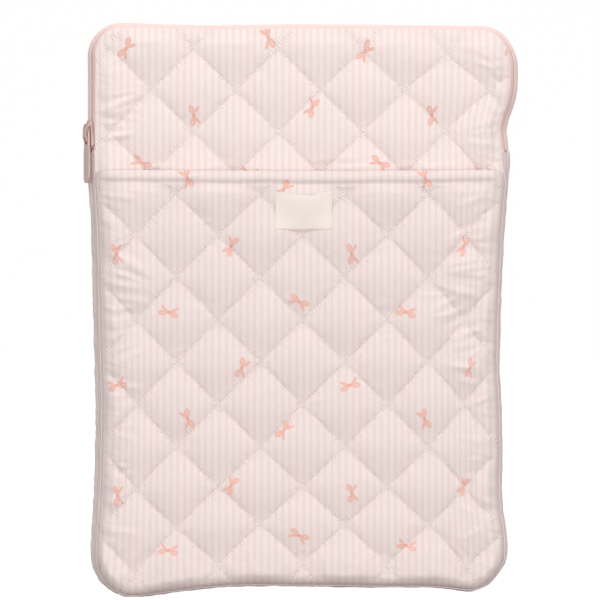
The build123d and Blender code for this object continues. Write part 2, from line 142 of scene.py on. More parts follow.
def warp(x, z):
    """Plain (x, z) to the soft outline; the middle of the bag hardly moves."""
    x, z = np.asarray(x, float), np.asarray(z, float)
    dl, dr = curve1(LEFT, z) + HW, curve1(RIGHT, z) - HW
    wl, wr = (0.35 * np.clip((s * x - 55) / 76, 0, 1) + 0.65 * sstep(84, 131, s * x) for s in (-1, 1))
    x2 = x + wl * dl + wr * dr
    zb, zt = curve1(BOTTOM, x), curve1(TOP, x)
    z2 = z + zb * (1 - sstep(0, 95, z)) + zt * sstep(285, 350, z)
    z2 = z2 - 2.6 * sstep(10, 75, x) * sstep(312, 332, z) * (1 - sstep(334, 349, z))
    return x2, z2


def outward(x, z):
    h = 0.05
    gx = (inset_of(x - h, z) - inset_of(x + h, z)) / (2 * h)
    gz = (inset_of(x, z - h) - inset_of(x, z + h)) / (2 * h)
    l = np.hypot(gx, gz) + 1e-9
    return gx / l, gz / l


def soft(x, y, z):
    """Rest shape of a point: the padded faces swell out over the edge band, most along the bottom
    and the top, and the whole follows the soft outline."""
    x, y, z = np.asarray(x, float), np.asarray(y, float), np.asarray(z, float)
    zc = np.clip(z, 0.5, H - 0.5)
    s = inset_of(x, zc)
    ox, oz = outward(x, zc)
    below_zip = 1 - sstep(ZIP_END - 22, ZIP_END - 3, z)
    side = np.where(x < 0, 1.1, 3.4) * below_zip
    amp = 2.3 * np.clip(oz, 0, 1) ** 2 + 4.3 * np.clip(-oz, 0, 1) ** 1.3 + side * (1 - oz * oz)
    front = sstep(2.0, 8.0, -y) + 0.55 * sstep(2.0, 8.0, y)
    d = amp * front * (1 - sstep(3.0, 21.0, s)) * sstep(-1.5, 0.5, s)
    wx, wz = warp(x + ox * d, z + oz * d)
    return wx, wz


# ---- quilting ---------------------------------------------------------------
def lattice(x, z, x0, z0):
    """Distances (mm) to the nearest stitch line of each family, and positions along them."""
    p = ((x - x0) + (z - z0)) / PITCH
    q = ((x - x0) - (z - z0)) / PITCH
    half = PITCH / math.sqrt(2)
    a = (p - np.round(p)) * half
    b = (q - np.round(q)) * half
    return a, b, p, q


HALF_CELL = PITCH / math.sqrt(2) / 2


def quilt(x, z, x0, z0, height, seed, power=0.78):
    a, b, p, q = lattice(x, z, x0, z0)
    ca, cb = np.floor(p), np.floor(q)
    na, nb = np.abs(a) / HALF_CELL, np.abs(b) / HALF_CELL
    ga, gb = 1 - (1 - na) ** 2, 1 - (1 - nb) ** 2
    puff = np.clip(ga * gb, 0, 1) ** power
    # each diamond is filled a little differently
    puff = puff * (1 + 0.10 * hash2(ca, cb, seed + 5))
    # cloth between the stitches: soft dents and low folds
    soft = fbm(x / 19.0, z / 15.0, seed + 1, 3) * 0.30 * puff
    soft = soft + fbm(x / 6.0, z / 4.5, seed + 2, 2) * 0.07 * puff
    # gathers across each stitch line, dying out within a few mm
    sa, sb = q * PITCH / math.sqrt(2), p * PITCH / math.sqrt(2)
    la, lb = np.abs(a), np.abs(b)
    gat_a = noise2(sa / 2.3 + 31 * np.round(p), la / 9.0, seed + 7) * np.exp(-la / 4.2) * (1 - np.exp(-la / 0.9))
    gat_b = noise2(sb / 2.3 + 17 * np.round(q), lb / 9.0, seed + 8) * np.exp(-lb / 4.2) * (1 - np.exp(-lb / 0.9))
    gat_a2 = noise2(sa / 5.5 + 11 * np.round(p), la / 14.0, seed + 9) * np.exp(-la / 8.0) * (1 - np.exp(-la / 1.6))
    gat_b2 = noise2(sb / 5.5 + 23 * np.round(q), lb / 14.0, seed + 10) * np.exp(-lb / 8.0) * (1 - np.exp(-lb / 1.6))
    gather = 0.30 * (gat_a + gat_b) + 0.34 * (gat_a2 + gat_b2)
    # every stitch pulls a small dimple, and the cloth stands up between two holes
    zig = 2 * math.sqrt(2) * G
    pull = np.cos(2 * math.pi * sa / zig) * np.exp(-la / 0.9) + np.cos(2 * math.pi * sb / zig) * np.exp(-lb / 0.9)
    return height * puff + gather + soft - 0.07 * pull


def strokes(x, z, table):
    """Folds from a table: (x, z, angle, length, width, height)."""
    v = np.zeros_like(np.asarray(x, float))
    for cx, cz, ang, ln, wd, ht in table:
        c, s = math.cos(math.radians(ang)), math.sin(math.radians(ang))
        u = (x - cx) * c + (z - cz) * s
        w = -(x - cx) * s + (z - cz) * c
        w = w - 0.9 * np.sin(u / max(ln, 1) * 2.2) * wd * 0.4
        along = np.clip(1 - (u / ln) ** 2, 0, 1) ** 1.5
        prof = np.exp(-(w / wd) ** 2) - 0.55 * np.exp(-((w - 1.5 * wd) / (1.1 * wd)) ** 2)
        v = v + ht * along * prof
    return v


# ---- mesh helpers -----------------------------------------------------------
def new_mesh(name, verts, faces, uvs=None, smooth=True, world=True):
    """verts in mm; faces as index lists; uvs {name: per-corner (n, 2)}."""
    v = to_world(verts) if world else np.asarray(verts, float)
    me = bpy.data.meshes.new(name)
    faces = [list(map(int, f)) for f in faces] if not isinstance(faces, np.ndarray) else faces
    if isinstance(faces, np.ndarray):
        n, k = faces.shape
        me.vertices.add(len(v))
        me.vertices.foreach_set("co", v.astype(np.float32).ravel())
        me.loops.add(n * k)
        me.loops.foreach_set("vertex_index", faces.astype(np.int32).ravel())
        me.polygons.add(n)
        me.polygons.foreach_set("loop_start", np.arange(0, n * k, k, dtype=np.int32))
        me.update(calc_edges=True)
    else:
        me.from_pydata([tuple(p) for p in v], [], faces)
        me.update()
    if smooth:
        me.polygons.foreach_set("use_smooth", np.ones(len(me.polygons), bool))
    for key, data in (uvs or {}).items():
        layer = me.uv_layers.new(name=key)
        layer.data.foreach_set("uv", np.asarray(data, np.float32).ravel())
    me.validate(verbose=False)
    me.update()
    o = bpy.data.objects.new(name, me)
    bpy.context.scene.collection.objects.link(o)
    return o


def add_uv(verts_uv, faces):
    """Per-corner values from per-vertex ones."""
    return np.asarray(verts_uv)[np.asarray(faces).ravel()]


# ---- print: bow positions of the cloth, in cloth mm -------------------------
TILE = (145.2, 147.0)
BOWS = [(113, 254, 96), (231, 246, 245), (168, 312, 168), (299, 302, -31),
        (242, 368, 69), (111, 385, 197), (187, 419, 291), (284, 430, 54)]
BOWS = [((x - 302.5) * 0.6076, (598 - y) * 0.6076, a) for x, y, a in BOWS]


def bow_uv(cx, cz, offset):
    """For each face centre (cloth mm) the nearest bow: (x, z, angle) arrays."""
    px, pz = cx - offset[0], cz - offset[1]
    best = np.full(len(px), 1e9)
    bx, bz, ba = np.zeros(len(px)), np.zeros(len(px)), np.zeros(len(px))
    for x, z, a in BOWS:
        nx = np.round((px - x) / TILE[0]) * TILE[0] + x
        nz = np.round((pz - z) / TILE[1]) * TILE[1] + z
        d = np.hypot(px - nx, pz - nz)
        k = d < best
        best[k], bx[k], bz[k], ba[k] = d[k], nx[k], nz[k], math.radians(a)
    return bx + offset[0], bz + offset[1], ba


def cloth_uvs(cloth, faces, offset=(0.0, 0.0)):
    """Stripe/weave coordinates and the nearest bow's own coordinates, per corner."""
    cloth = np.asarray(cloth, float)
    f = np.asarray(faces)
    cen = cloth[f].mean(axis=1)
    bx, bz, ba = bow_uv(cen[:, 0], cen[:, 1], offset)
    k = f.shape[1]
    cor = cloth[f.ravel()]
    rx, rz, ra = np.repeat(bx, k), np.repeat(bz, k), np.repeat(ba, k)
    dx, dz = cor[:, 0] - rx, cor[:, 1] - rz
    lx = dx * np.cos(ra) + dz * np.sin(ra)
    lz = -dx * np.sin(ra) + dz * np.cos(ra)
    return {"cloth": cor * 0.01, "bow": np.stack([lx, lz], 1) * 0.05 + 0.5}


# ---------------------------------------------------------------------------
# Materials
# ---------------------------------------------------------------------------
def srgb(r, g, b):
    def f(c):
        c /= 255.0
        return c / 12.92 if c <= 0.04045 else ((c + 0.055) / 1.055) ** 2.4
    return (f(r), f(g), f(b), 1.0)


class Nodes:
    def __init__(self, name):
        self.mat = bpy.data.materials.new(name)
        self.mat.use_nodes = True
        self.t = self.mat.node_tree
        self.t.nodes.clear()
        self.out = self.t.nodes.new("ShaderNodeOutputMaterial")
        self.bsdf = self.t.nodes.new("ShaderNodeBsdfPrincipled")
        self.t.links.new(self.bsdf.outputs[0], self.out.inputs[0])

    def link(self, a, b):
        self.t.links.new(a, b)

    def val(self, sock, v):
        if isinstance(v, (int, float)):
            sock.default_value = v
        elif isinstance(v, (tuple, list)):
            sock.default_value = v
        else:
            self.link(v, sock)

    def math(self, op, a, b=0.0, c=None, clamp=False):
        n = self.t.nodes.new("ShaderNodeMath")
        n.operation = op
        n.use_clamp = clamp
        self.val(n.inputs[0], a)
        self.val(n.inputs[1], b)
        if c is not None:
            self.val(n.inputs[2], c)
        return n.outputs[0]

    def step(self, v, lo, hi):
        n = self.t.nodes.new("ShaderNodeMapRange")
        n.interpolation_type = "SMOOTHSTEP"
        self.val(n.inputs["Value"], v)
        n.inputs["From Min"].default_value = lo
        n.inputs["From Max"].default_value = hi
        return n.outputs[0]

    def uv(self, name):
        n = self.t.nodes.new("ShaderNodeUVMap")
        n.uv_map = name
        s = self.t.nodes.new("ShaderNodeSeparateXYZ")
        self.link(n.outputs[0], s.inputs[0])
        return n.outputs[0], s.outputs[0], s.outputs[1]

    def obj(self):
        n = self.t.nodes.new("ShaderNodeTexCoord")
        return n.outputs["Object"]

    def mapping(self, vec, scale=(1, 1, 1), rot=(0, 0, 0)):
        n = self.t.nodes.new("ShaderNodeMapping")
        self.link(vec, n.inputs[0])
        n.inputs["Scale"].default_value = scale
        n.inputs["Rotation"].default_value = rot
        return n.outputs[0]

    def noise(self, vec, scale, detail=2.0, rough=0.5):
        n = self.t.nodes.new("ShaderNodeTexNoise")
        self.link(vec, n.inputs["Vector"])
        n.inputs["Scale"].default_value = scale
        n.inputs["Detail"].default_value = detail
        n.inputs["Roughness"].default_value = rough
        return n.outputs["Fac"]

    def mix(self, fac, a, b, blend="MIX"):
        n = self.t.nodes.new("ShaderNodeMix")
        n.data_type = "RGBA"
        n.blend_type = blend
        self.val(n.inputs[0], fac)
        self.val(n.inputs[6], a)
        self.val(n.inputs[7], b)
        return n.outputs[2]

    def bump(self, height, strength, distance, normal=None):
        n = self.t.nodes.new("ShaderNodeBump")
        n.inputs["Strength"].default_value = strength
        n.inputs["Distance"].default_value = distance
        self.link(height, n.inputs["Height"])
        if normal is not None:
            self.link(normal, n.inputs["Normal"])
        return n.outputs[0]


def weave(n, u, v, pitch_mm, scale=0.01):
    """Plain weave height from cloth coordinates (u, v in units of mm * scale)."""
    k = 2 * math.pi / (pitch_mm * scale)
    a = n.math("SINE", n.math("MULTIPLY", u, k))
    b = n.math("SINE", n.math("MULTIPLY", v, k))
    over = n.math("MULTIPLY", a, b)
    return n.math("MULTIPLY_ADD", over, 0.5, 0.5)


def printed_cloth(name, bows=True, colour_scale=1.0, quilt_at=None, top=None):
    n = Nodes(name)
    vec, u, v = n.uv("cloth")
    # yarn-dyed pinstripe: soft edged, each thread a little uneven
    wob = n.noise(n.mapping(vec, (30, 400, 1)), 1.0, 2.0)
    ph = n.math("ADD", n.math("MULTIPLY", u, 2 * math.pi / (PIN * 0.01)), n.math("MULTIPLY", wob, 0.5))
    s = n.math("SINE", ph)
    stripe = n.step(s, -0.35, 0.9)
    fib = n.noise(n.mapping(vec, (900, 90, 1)), 1.0, 2.0)
    fib2 = n.noise(n.mapping(vec, (90, 900, 1)), 1.0, 2.0)
    # the colour scale multiplies the cloth colour; the pocket's lower value is painted shade, making the lower part of
    # the sleeve darker as if the light fell off there
    cream = srgb(245.5 * colour_scale, 233.5 * colour_scale, 230 * colour_scale)
    pink = srgb(244.5 * colour_scale, 222 * colour_scale, 219 * colour_scale)
    col = n.mix(stripe, cream, pink)
    mott = n.math("ADD", n.math("MULTIPLY", n.math("SUBTRACT", fib, 0.5), 0.10),
                  n.math("MULTIPLY", n.math("SUBTRACT", fib2, 0.5), 0.08))
    big = n.noise(n.mapping(vec, (6, 6, 1)), 1.0, 2.0)
    mott = n.math("ADD", mott, n.math("MULTIPLY", n.math("SUBTRACT", big, 0.5), 0.03))
    w = weave(n, u, v, 0.62)
    thread = n.math("MULTIPLY_ADD", w, 0.05, 0.965)
    shade = n.math("ADD", thread, mott)
    grey = n.t.nodes.new("ShaderNodeCombineColor")
    for i in range(3):
        n.link(shade, grey.inputs[i])
    col = n.mix(1.0, col, grey.outputs[0], "MULTIPLY")
    if bows:
        _, bu, bv = n.uv("bow")
        x = n.math("MULTIPLY", n.math("SUBTRACT", bu, 0.5), 20.0)
        y = n.math("MULTIPLY", n.math("SUBTRACT", bv, 0.5), 20.0)
        ax = n.math("ABSOLUTE", x)

        def ellipse(px, py, cx, cy, rx, ry, ang):
            c, si = math.cos(math.radians(ang)), math.sin(math.radians(ang))
            dx, dy = n.math("SUBTRACT", px, cx), n.math("SUBTRACT", py, cy)
            ex = n.math("MULTIPLY", n.math("MULTIPLY_ADD", dx, c, n.math("MULTIPLY", dy, si)), 1 / rx)
            ey = n.math("MULTIPLY", n.math("MULTIPLY_ADD", dy, c, n.math("MULTIPLY", dx, -si)), 1 / ry)
            return n.math("ADD", n.math("MULTIPLY", ex, ex), n.math("MULTIPLY", ey, ey))

        knot = ellipse(ax, y, 0.0, 0.1, 1.25, 1.15, 0)
        loop = ellipse(ax, y, 3.7, 1.15, 2.75, 1.75, 14)
        neck = ellipse(ax, y, 1.9, 0.35, 1.9, 0.95, 12)
        tail = ellipse(ax, y, 3.1, -1.65, 3.1, 0.95, -38)
        shape = n.math("MINIMUM", n.math("MINIMUM", knot, loop), n.math("MINIMUM", neck, tail))
        hole = ellipse(ax, y, 4.0, 1.25, 1.35, 0.62, 14)
        edge = n.noise(n.mapping(vec, (260, 260, 1)), 1.0, 2.0)
        shape = n.math("ADD", shape, n.math("MULTIPLY", n.math("SUBTRACT", edge, 0.5), 0.5))
        mask = n.math("SUBTRACT", 1.0, n.step(shape, 0.82, 1.14))
        inner = n.math("SUBTRACT", 1.0, n.step(hole, 0.6, 1.3))
        bow_col = n.mix(n.math("MULTIPLY", inner, 0.55), srgb(242, 190, 177), srgb(246, 212, 202))
        kn = n.math("SUBTRACT", 1.0, n.step(knot, 0.5, 1.3))
        bow_col = n.mix(n.math("MULTIPLY", kn, 0.6), bow_col, srgb(232, 163, 150))
        bow_col = n.mix(1.0, bow_col, grey.outputs[0], "MULTIPLY")
        col = n.mix(n.math("MULTIPLY", mask, 0.93), col, bow_col)
    n.link(col, n.bsdf.inputs["Base Color"])
    n.bsdf.inputs["Roughness"].default_value = 0.86
    n.bsdf.inputs["Specular IOR Level"].default_value = 0.28
    n.bsdf.inputs["Sheen Weight"].default_value = 0.12
    n.bsdf.inputs["Sheen Roughness"].default_value = 0.5
    crumple = n.noise(n.mapping(vec, (55, 40, 1)), 1.0, 3.0, 0.55)
    b1 = n.bump(crumple, 0.30, 0.0009)
    if quilt_at:
        # gathers the thread pulls into the cloth on both sides of every stitch line
        x0, z0 = quilt_at
        total = None
        for sgn, sd in ((1.0, 3.7), (-1.0, 8.1)):
            p = n.math("MULTIPLY", n.math("MULTIPLY_ADD", n.math("SUBTRACT", v, z0 * 0.01), sgn,
                                          n.math("SUBTRACT", u, x0 * 0.01)), 100 / PITCH)
            q = n.math("MULTIPLY", n.math("MULTIPLY_ADD", n.math("SUBTRACT", v, z0 * 0.01), -sgn,
                                          n.math("SUBTRACT", u, x0 * 0.01)), 100 / PITCH)
            line = n.math("ROUND", p)
            side = n.math("MULTIPLY", n.math("SUBTRACT", p, line), PITCH / math.sqrt(2))
            dist = n.math("ABSOLUTE", side)
            along = n.math("MULTIPLY", q, PITCH / math.sqrt(2))
            c = n.t.nodes.new("ShaderNodeCombineXYZ")
            n.val(c.inputs[0], n.math("MULTIPLY", along, 0.62))
            n.val(c.inputs[1], n.math("MULTIPLY_ADD", line, sd, n.math("MULTIPLY", dist, 0.10)))
            gat = n.math("SUBTRACT", n.noise(c.outputs[0], 1.0, 2.0, 0.6), 0.5)
            fall = n.math("EXPONENT", n.math("MULTIPLY", dist, -0.42))
            dim = n.math("COSINE", n.math("MULTIPLY", along, 2 * math.pi / STITCH))
            dim = n.math("MULTIPLY", dim, n.math("EXPONENT", n.math("MULTIPLY", dist, -1.75)))
            # the valley wanders from side to side between the needle holes
            zig = n.math("MULTIPLY", n.math("MULTIPLY", dim, side), 0.62)
            h = n.math("ADD", zig, n.math("MULTIPLY_ADD", dim, -0.07, n.math("MULTIPLY", gat, fall)))
            total = h if total is None else n.math("ADD", total, h)
        if top is not None:
            total = n.math("MULTIPLY", total, n.math("SUBTRACT", 1.0, n.step(v, (top - 1.5) * 0.01, top * 0.01)))
        b1 = n.bump(total, 1.0, 0.0008, b1)
    b2 = n.bump(w, 0.35, 0.00012, b1)
    b3 = n.bump(fib, 0.25, 0.00012, b2)
    n.link(b3, n.bsdf.inputs["Normal"])
    return n.mat


def plain_cloth(name, colour, pitch=0.6, rib=False, rough=0.85, sheen=0.12, var=0.08, bump=0.35, uvname="cloth"):
    n = Nodes(name)
    vec, u, v = n.uv(uvname)
    fib = n.noise(n.mapping(vec, (700, 120, 1)), 1.0, 2.0)
    big = n.noise(n.mapping(vec, (9, 9, 1)), 1.0, 2.0)
    if rib:
        k = 2 * math.pi / (pitch * 0.01)
        w = n.math("MULTIPLY_ADD", n.math("SINE", n.math("MULTIPLY", u, k)), 0.5, 0.5)
        w2 = n.math("MULTIPLY_ADD", n.math("SINE", n.math("MULTIPLY", v, k * 0.6)), 0.5, 0.5)
        w = n.math("MULTIPLY_ADD", w2, 0.25, n.math("MULTIPLY", w, 0.75))
    else:
        w = weave(n, u, v, pitch)
    shade = n.math("ADD", n.math("MULTIPLY_ADD", w, 0.10, 0.93),
                   n.math("MULTIPLY", n.math("SUBTRACT", fib, 0.5), var))
    shade = n.math("ADD", shade, n.math("MULTIPLY", n.math("SUBTRACT", big, 0.5), var * 0.6))
    grey = n.t.nodes.new("ShaderNodeCombineColor")
    for i in range(3):
        n.link(shade, grey.inputs[i])
    col = n.mix(1.0, srgb(*colour), grey.outputs[0], "MULTIPLY")
    n.link(col, n.bsdf.inputs["Base Color"])
    n.bsdf.inputs["Roughness"].default_value = rough
    n.bsdf.inputs["Specular IOR Level"].default_value = 0.25
    n.bsdf.inputs["Sheen Weight"].default_value = sheen
    b1 = n.bump(w, bump, 0.00018)
    b2 = n.bump(fib, 0.25, 0.00012, b1)
    n.link(b2, n.bsdf.inputs["Normal"])
    return n.mat


def solid_mat(name, colour, rough, metal=0.0, noise_scale=900, var=0.08, bump=0.15, sheen=0.0, coat=0.0):
    n = Nodes(name)
    vec = n.obj()
    a = n.noise(vec, noise_scale, 3.0, 0.55)
    big = n.noise(vec, noise_scale / 8, 2.0)
    shade = n.math("ADD", n.math("MULTIPLY_ADD", a, var, 1 - var / 2),
                   n.math("MULTIPLY", n.math("SUBTRACT", big, 0.5), var))
    grey = n.t.nodes.new("ShaderNodeCombineColor")
    for i in range(3):
        n.link(shade, grey.inputs[i])
    col = n.mix(1.0, srgb(*colour), grey.outputs[0], "MULTIPLY")
    n.link(col, n.bsdf.inputs["Base Color"])
    n.bsdf.inputs["Metallic"].default_value = metal
    n.link(n.math("MULTIPLY_ADD", a, 0.14, rough - 0.07), n.bsdf.inputs["Roughness"])
    n.bsdf.inputs["Sheen Weight"].default_value = sheen
    n.bsdf.inputs["Coat Weight"].default_value = coat
    n.link(n.bump(a, bump, 0.00008), n.bsdf.inputs["Normal"])
    return n.mat


M_FRONT = printed_cloth("printed_cotton_front", quilt_at=(10.9, 308.7))
# the pocket cloth is scaled darker (0.978) as painted shade, standing in for light falling off towards the bottom of
# the sleeve
M_POCKET = printed_cloth("printed_cotton_pocket", colour_scale=0.978, quilt_at=(0.2, 219.95), top=STITCH_Z - 1.0)
M_BACK = printed_cloth("printed_cotton_back", quilt_at=(0.0, 219.95))
M_GUSSET = printed_cloth("printed_cotton_band", bows=False, colour_scale=0.985)
M_LINING = plain_cloth("lining_cloth", (240, 217, 213), 0.7)
M_BINDING = plain_cloth("binding_cloth", (229, 200, 196), 1.1, rib=True)
M_TAPE = plain_cloth("zip_tape", (255, 225, 220), 1.0, rib=True, rough=0.8, sheen=0.18)
M_LABEL = plain_cloth("label_cloth", (248, 237, 230), 0.55, rib=False, rough=0.7, sheen=0.1, var=0.05)
M_THREAD = solid_mat("thread", (248, 232, 228), 0.75, noise_scale=2500, var=0.12, sheen=0.2)
M_COIL = solid_mat("zip_coil", (238, 210, 206), 0.42, noise_scale=700, var=0.05)
M_METAL = solid_mat("slider_metal", (216, 190, 184), 0.36, metal=0.72, noise_scale=500, var=0.10, bump=0.12)


# ---------------------------------------------------------------------------
# Surfaces
# ---------------------------------------------------------------------------
def grid_region(x_lo, x_hi, z_lo, z_hi, x0, z0, inset):
    """Square grid whose diagonals fall on the stitch lines, trimmed to the outline at an
    inset and to straight limits; boundary points sit exactly on the limits."""
    i0, i1 = math.floor((x_lo - x0) / G), math.ceil((x_hi - x0) / G)
    j0, j1 = math.floor((z_lo - z0) / G), math.ceil((z_hi - z0) / G)
    xs, zs = x0 + np.arange(i0, i1 + 1) * G, z0 + np.arange(j0, j1 + 1) * G
    X, Z = np.meshgrid(xs, zs)
    nx, nz = X.shape[1], X.shape[0]
    idx = np.arange(nx * nz).reshape(nz, nx)
    q = np.stack([idx[:-1, :-1], idx[:-1, 1:], idx[1:, 1:], idx[1:, :-1]], -1).reshape(-1, 4)
    I, J = np.meshgrid(np.arange(i0, i1), np.arange(j0, j1))
    P, Q = X.ravel().copy(), Z.ravel().copy()
    cx, cz = P[q].mean(1), Q[q].mean(1)
    keep = (inset_of(cx, cz) > inset) & (cz > z_lo) & (cz < z_hi) & (cx > x_lo) & (cx < x_hi)
    q, I, J = q[keep], I.ravel()[keep], J.ravel()[keep]
    used, inv = np.unique(q, return_inverse=True)
    q = inv.reshape(q.shape)
    P, Q = P[used], Q[used]
    # boundary points onto the limits
    e = np.sort(np.concatenate([q[:, [0, 1]], q[:, [1, 2]], q[:, [2, 3]], q[:, [3, 0]]]), axis=1)
    key, cnt = np.unique(e, axis=0, return_counts=True)
    bound = np.unique(key[cnt == 1])
    b = np.zeros(len(P), bool)
    b[bound] = True
    low, high = b & (Q < z_lo + 0.8 * G), b & (Q > z_hi - 0.8 * G)
    Q[low & (z_lo > 8)] = z_lo
    Q[high & (z_hi < H - 8)] = z_hi
    rim = b & (inset_of(P, Q) < inset + 1.5 * G)
    for _ in range(3):
        d = inset_of(P, Q)
        h = 0.05
        gx = (inset_of(P + h, Q) - inset_of(P - h, Q)) / (2 * h)
        gz = (inset_of(P, Q + h) - inset_of(P, Q - h)) / (2 * h)
        l = np.hypot(gx, gz) + 1e-9
        P = np.where(rim, P + (inset - d) * gx / l, P)
        Q = np.where(rim & ~(low & (z_lo > 8)) & ~(high & (z_hi < H - 8)), Q + (inset - d) * gz / l, Q)
    # split each square along the diagonal that runs with the nearer stitch line
    par = ((I + J) % 50 == 0) | ((I + J + 1) % 50 == 0)
    par2 = ((I - J) % 50 == 0)
    # diagonal 0-2 follows x - z, diagonal 1-3 follows x + z
    mid_p = ((I + J + 1) / 50.0)
    mid_q = ((I - J) / 50.0)
    near_q = np.abs(mid_q - np.round(mid_q)) < np.abs(mid_p - np.round(mid_p))
    tri_a = np.where(near_q[:, None], q[:, [0, 1, 2]], q[:, [0, 1, 3]])
    tri_b = np.where(near_q[:, None], q[:, [0, 2, 3]], q[:, [1, 2, 3]])
    tris = np.stack([tri_a, tri_b], 1).reshape(-1, 3)
    return P, Q, q, tris, b


def quarter(t):
    """Quarter-round rise from 0 to 1."""
    t = np.clip(t, 0, 1)
    return np.sqrt(np.clip(1 - (1 - t) ** 2, 0, 1))


# folds, listed one by one: x, z, angle, half length, width, height (mm)
FLAP_FOLDS = [
    (-112, 296, 4, 20, 2.6, 1.1), (-114, 289, -7, 17, 2.0, -0.9), (-110, 303, 10, 16, 2.2, 0.8),
    (-113, 281, 2, 13, 2.0, 0.8), (-106, 310, 14, 14, 2.4, 0.5), (-117, 318, 25, 12, 2.0, 0.5),
    (121, 318, -50, 12, 2.0, 0.7), (113, 327, -25, 13, 2.2, 0.8), (120, 306, -70, 12, 1.8, 0.8),
    (116, 334, -12, 14, 2.0, 0.6), (-118, 335, 30, 12, 2.2, 0.5), (-92, 338, 8, 16, 2.0, 0.5),
    (60, 340, -3, 20, 1.8, 0.4), (-20, 341, 3, 18, 1.8, 0.35), (96, 338, -10, 14, 1.8, 0.5),
    (118, 285, 10, 12, 2.2, -0.7), (114, 276, -8, 14, 2.4, 0.7), (-52, 263, 5, 16, 2.0, 0.5),
    (20, 264, -2, 20, 2.0, -0.5), (66, 263, 3, 14, 2.2, 0.5),
]
POCKET_FOLDS = [
    (-112, 244, -12, 14, 2.0, 0.8), (-108, 205, -32, 18, 2.4, 1.1), (-105, 197, -26, 17, 2.2, -1.0),
    (-112, 190, -14, 15, 2.0, 0.9), (-106, 181, -12, 18, 2.4, 0.8), (-110, 172, 6, 14, 2.2, -0.7),
    (-112, 160, 12, 12, 2.2, 0.7), (-108, 146, 18, 15, 2.2, 0.8), (-110, 128, -8, 14, 2.2, 0.9),
    (-113, 120, 8, 12, 2.0, -0.7), (-112, 98, -20, 12, 2.0, 0.8), (-112, 74, 10, 12, 2.0, 0.7),
    (-115, 60, 20, 10, 2.0, 0.6), (-110, 40, -15, 14, 2.4, 0.7), (-104, 22, 60, 10, 2.0, 0.6),
    (106, 241, 8, 13, 2.2, 0.7), (103, 222, 15, 20, 2.4, 1.2), (106, 213, 7, 20, 2.2, -1.1),
    (102, 204, 4, 22, 2.6, 1.3), (104, 194, -8, 21, 2.2, -1.0), (100, 186, -14, 22, 2.6, 1.3),
    (88, 178, 24, 18, 2.4, 0.9), (98, 170, 18, 20, 2.4, -1.0), (104, 160, 10, 18, 2.4, 1.2),
    (106, 150, 3, 17, 2.2, -0.9), (102, 141, -6, 18, 2.4, 1.1), (107, 131, -16, 14, 2.2, 0.8),
    (108, 118, 12, 14, 2.2, 0.8), (109, 96, -14, 13, 2.2, 0.7), (108, 72, 10, 12, 2.2, 0.8),
    (104, 52, -30, 14, 2.4, 0.8), (107, 36, 14, 14, 2.4, 0.7), (98, 22, -55, 12, 2.2, 0.7),
    (-70, 14, 84, 7, 2.2, 0.7), (-52, 13, 92, 7, 2.2, 0.6), (-30, 13, 86, 8, 2.4, 0.7), (-8, 13, 95, 7, 2.2, 0.6),
    (14, 13, 85, 8, 2.2, 0.7), (36, 13, 93, 7, 2.4, 0.6), (58, 13, 88, 8, 2.2, 0.7), (80, 13, 96, 8, 2.2, 0.7),
    (-62, 228, 3, 12, 1.8, 0.35), (-60, 176, -4, 13, 2.0, 0.45), (48, 178, 5, 12, 2.0, 0.4), (84, 205, 4, 12, 2.0, 0.5),
    (-10, 182, 2, 12, 1.8, 0.3), (-76, 150, 5, 12, 2.0, 0.4), (40, 128, -3, 12, 1.8, 0.3), (74, 96, 4, 12, 1.8, 0.3),
]

FLAP_CREASES = [
    (-113.5, 299.5, 14, 14, 2.0, 1.5), (-117, 289.0, -10, 9, 1.7, 1.2), (-108, 307, 8, 11, 1.6, 0.7),
    (-112, 281, 4, 11, 1.6, 0.8),
    (116, 330, -40, 8, 1.4, 0.6), (119, 312, -60, 7, 1.3, 0.6), (108, 338, -10, 9, 1.4, 0.5),
    (113, 283, 8, 8, 1.4, 0.5), (-84, 342, 6, 10, 1.3, 0.4), (-88, 262.5, 4, 10, 1.4, 0.5),
    (35, 262.5, -3, 11, 1.4, 0.5), (85, 263, 4, 12, 1.4, 0.5),
]
POCKET_CREASES = [
    (115.4, 231.2, 18, 7, 1.3, 0.7), (104.8, 200.2, 4, 15, 1.4, 0.8), (116.0, 196.3, 17, 6, 1.2, 0.7),
    (82.3, 184.1, 0, 14, 1.4, 0.7), (90.8, 180.4, 11, 9, 1.3, 0.6), (90.8, 172.9, 11, 13, 1.4, 0.8),
    (112, 214, -8, 8, 1.3, 0.6), (110, 162, 6, 9, 1.3, 0.7), (113, 150, 14, 7, 1.2, 0.6), (104, 140, -5, 10, 1.4, 0.6),
    (116, 120, 12, 6, 1.2, 0.6), (112, 84, -10, 7, 1.3, 0.5), (-114, 214, 12, 7, 1.3, 0.6),
    (-110, 196, -20, 10, 1.4, 0.7), (-113, 176, 6, 8, 1.3, 0.6), (-112, 152, 16, 8, 1.3, 0.6),
    (-115, 132, -12, 7, 1.2, 0.6), (-111, 104, 10, 8, 1.3, 0.5), (-114, 80, -8, 7, 1.3, 0.6), (-112, 58, 14, 8, 1.3, 0.5),
    (40, 206, 3, 8, 1.3, 0.3), (-36, 150, -4, 9, 1.3, 0.3), (8, 120, 3, 8, 1.3, 0.3), (52, 158, 6, 9, 1.3, 0.35),
]

F0 = (10.9, 308.7)      # a crossing of the stitch lines on the upper front
P0 = (0.2, 219.95)      # and on the pocket


def pucker(x, z, s):
    """Small gathers running in from the side seams, where the cloth is eased in."""
    ring = sstep(0.3, 2.6, s - SEAM) * (1 - sstep(4.0, 15.0, s - SEAM))
    side = sstep(70.0, 104.0, np.abs(x))
    lean = z + 0.22 * x
    w = 0.62 * noise2(lean / 5.2, x / 26.0, 141) + 0.34 * noise2(lean / 2.3, x / 15.0, 142)
    return ring * side * w * np.where(x > 0, 1.0, 0.6)


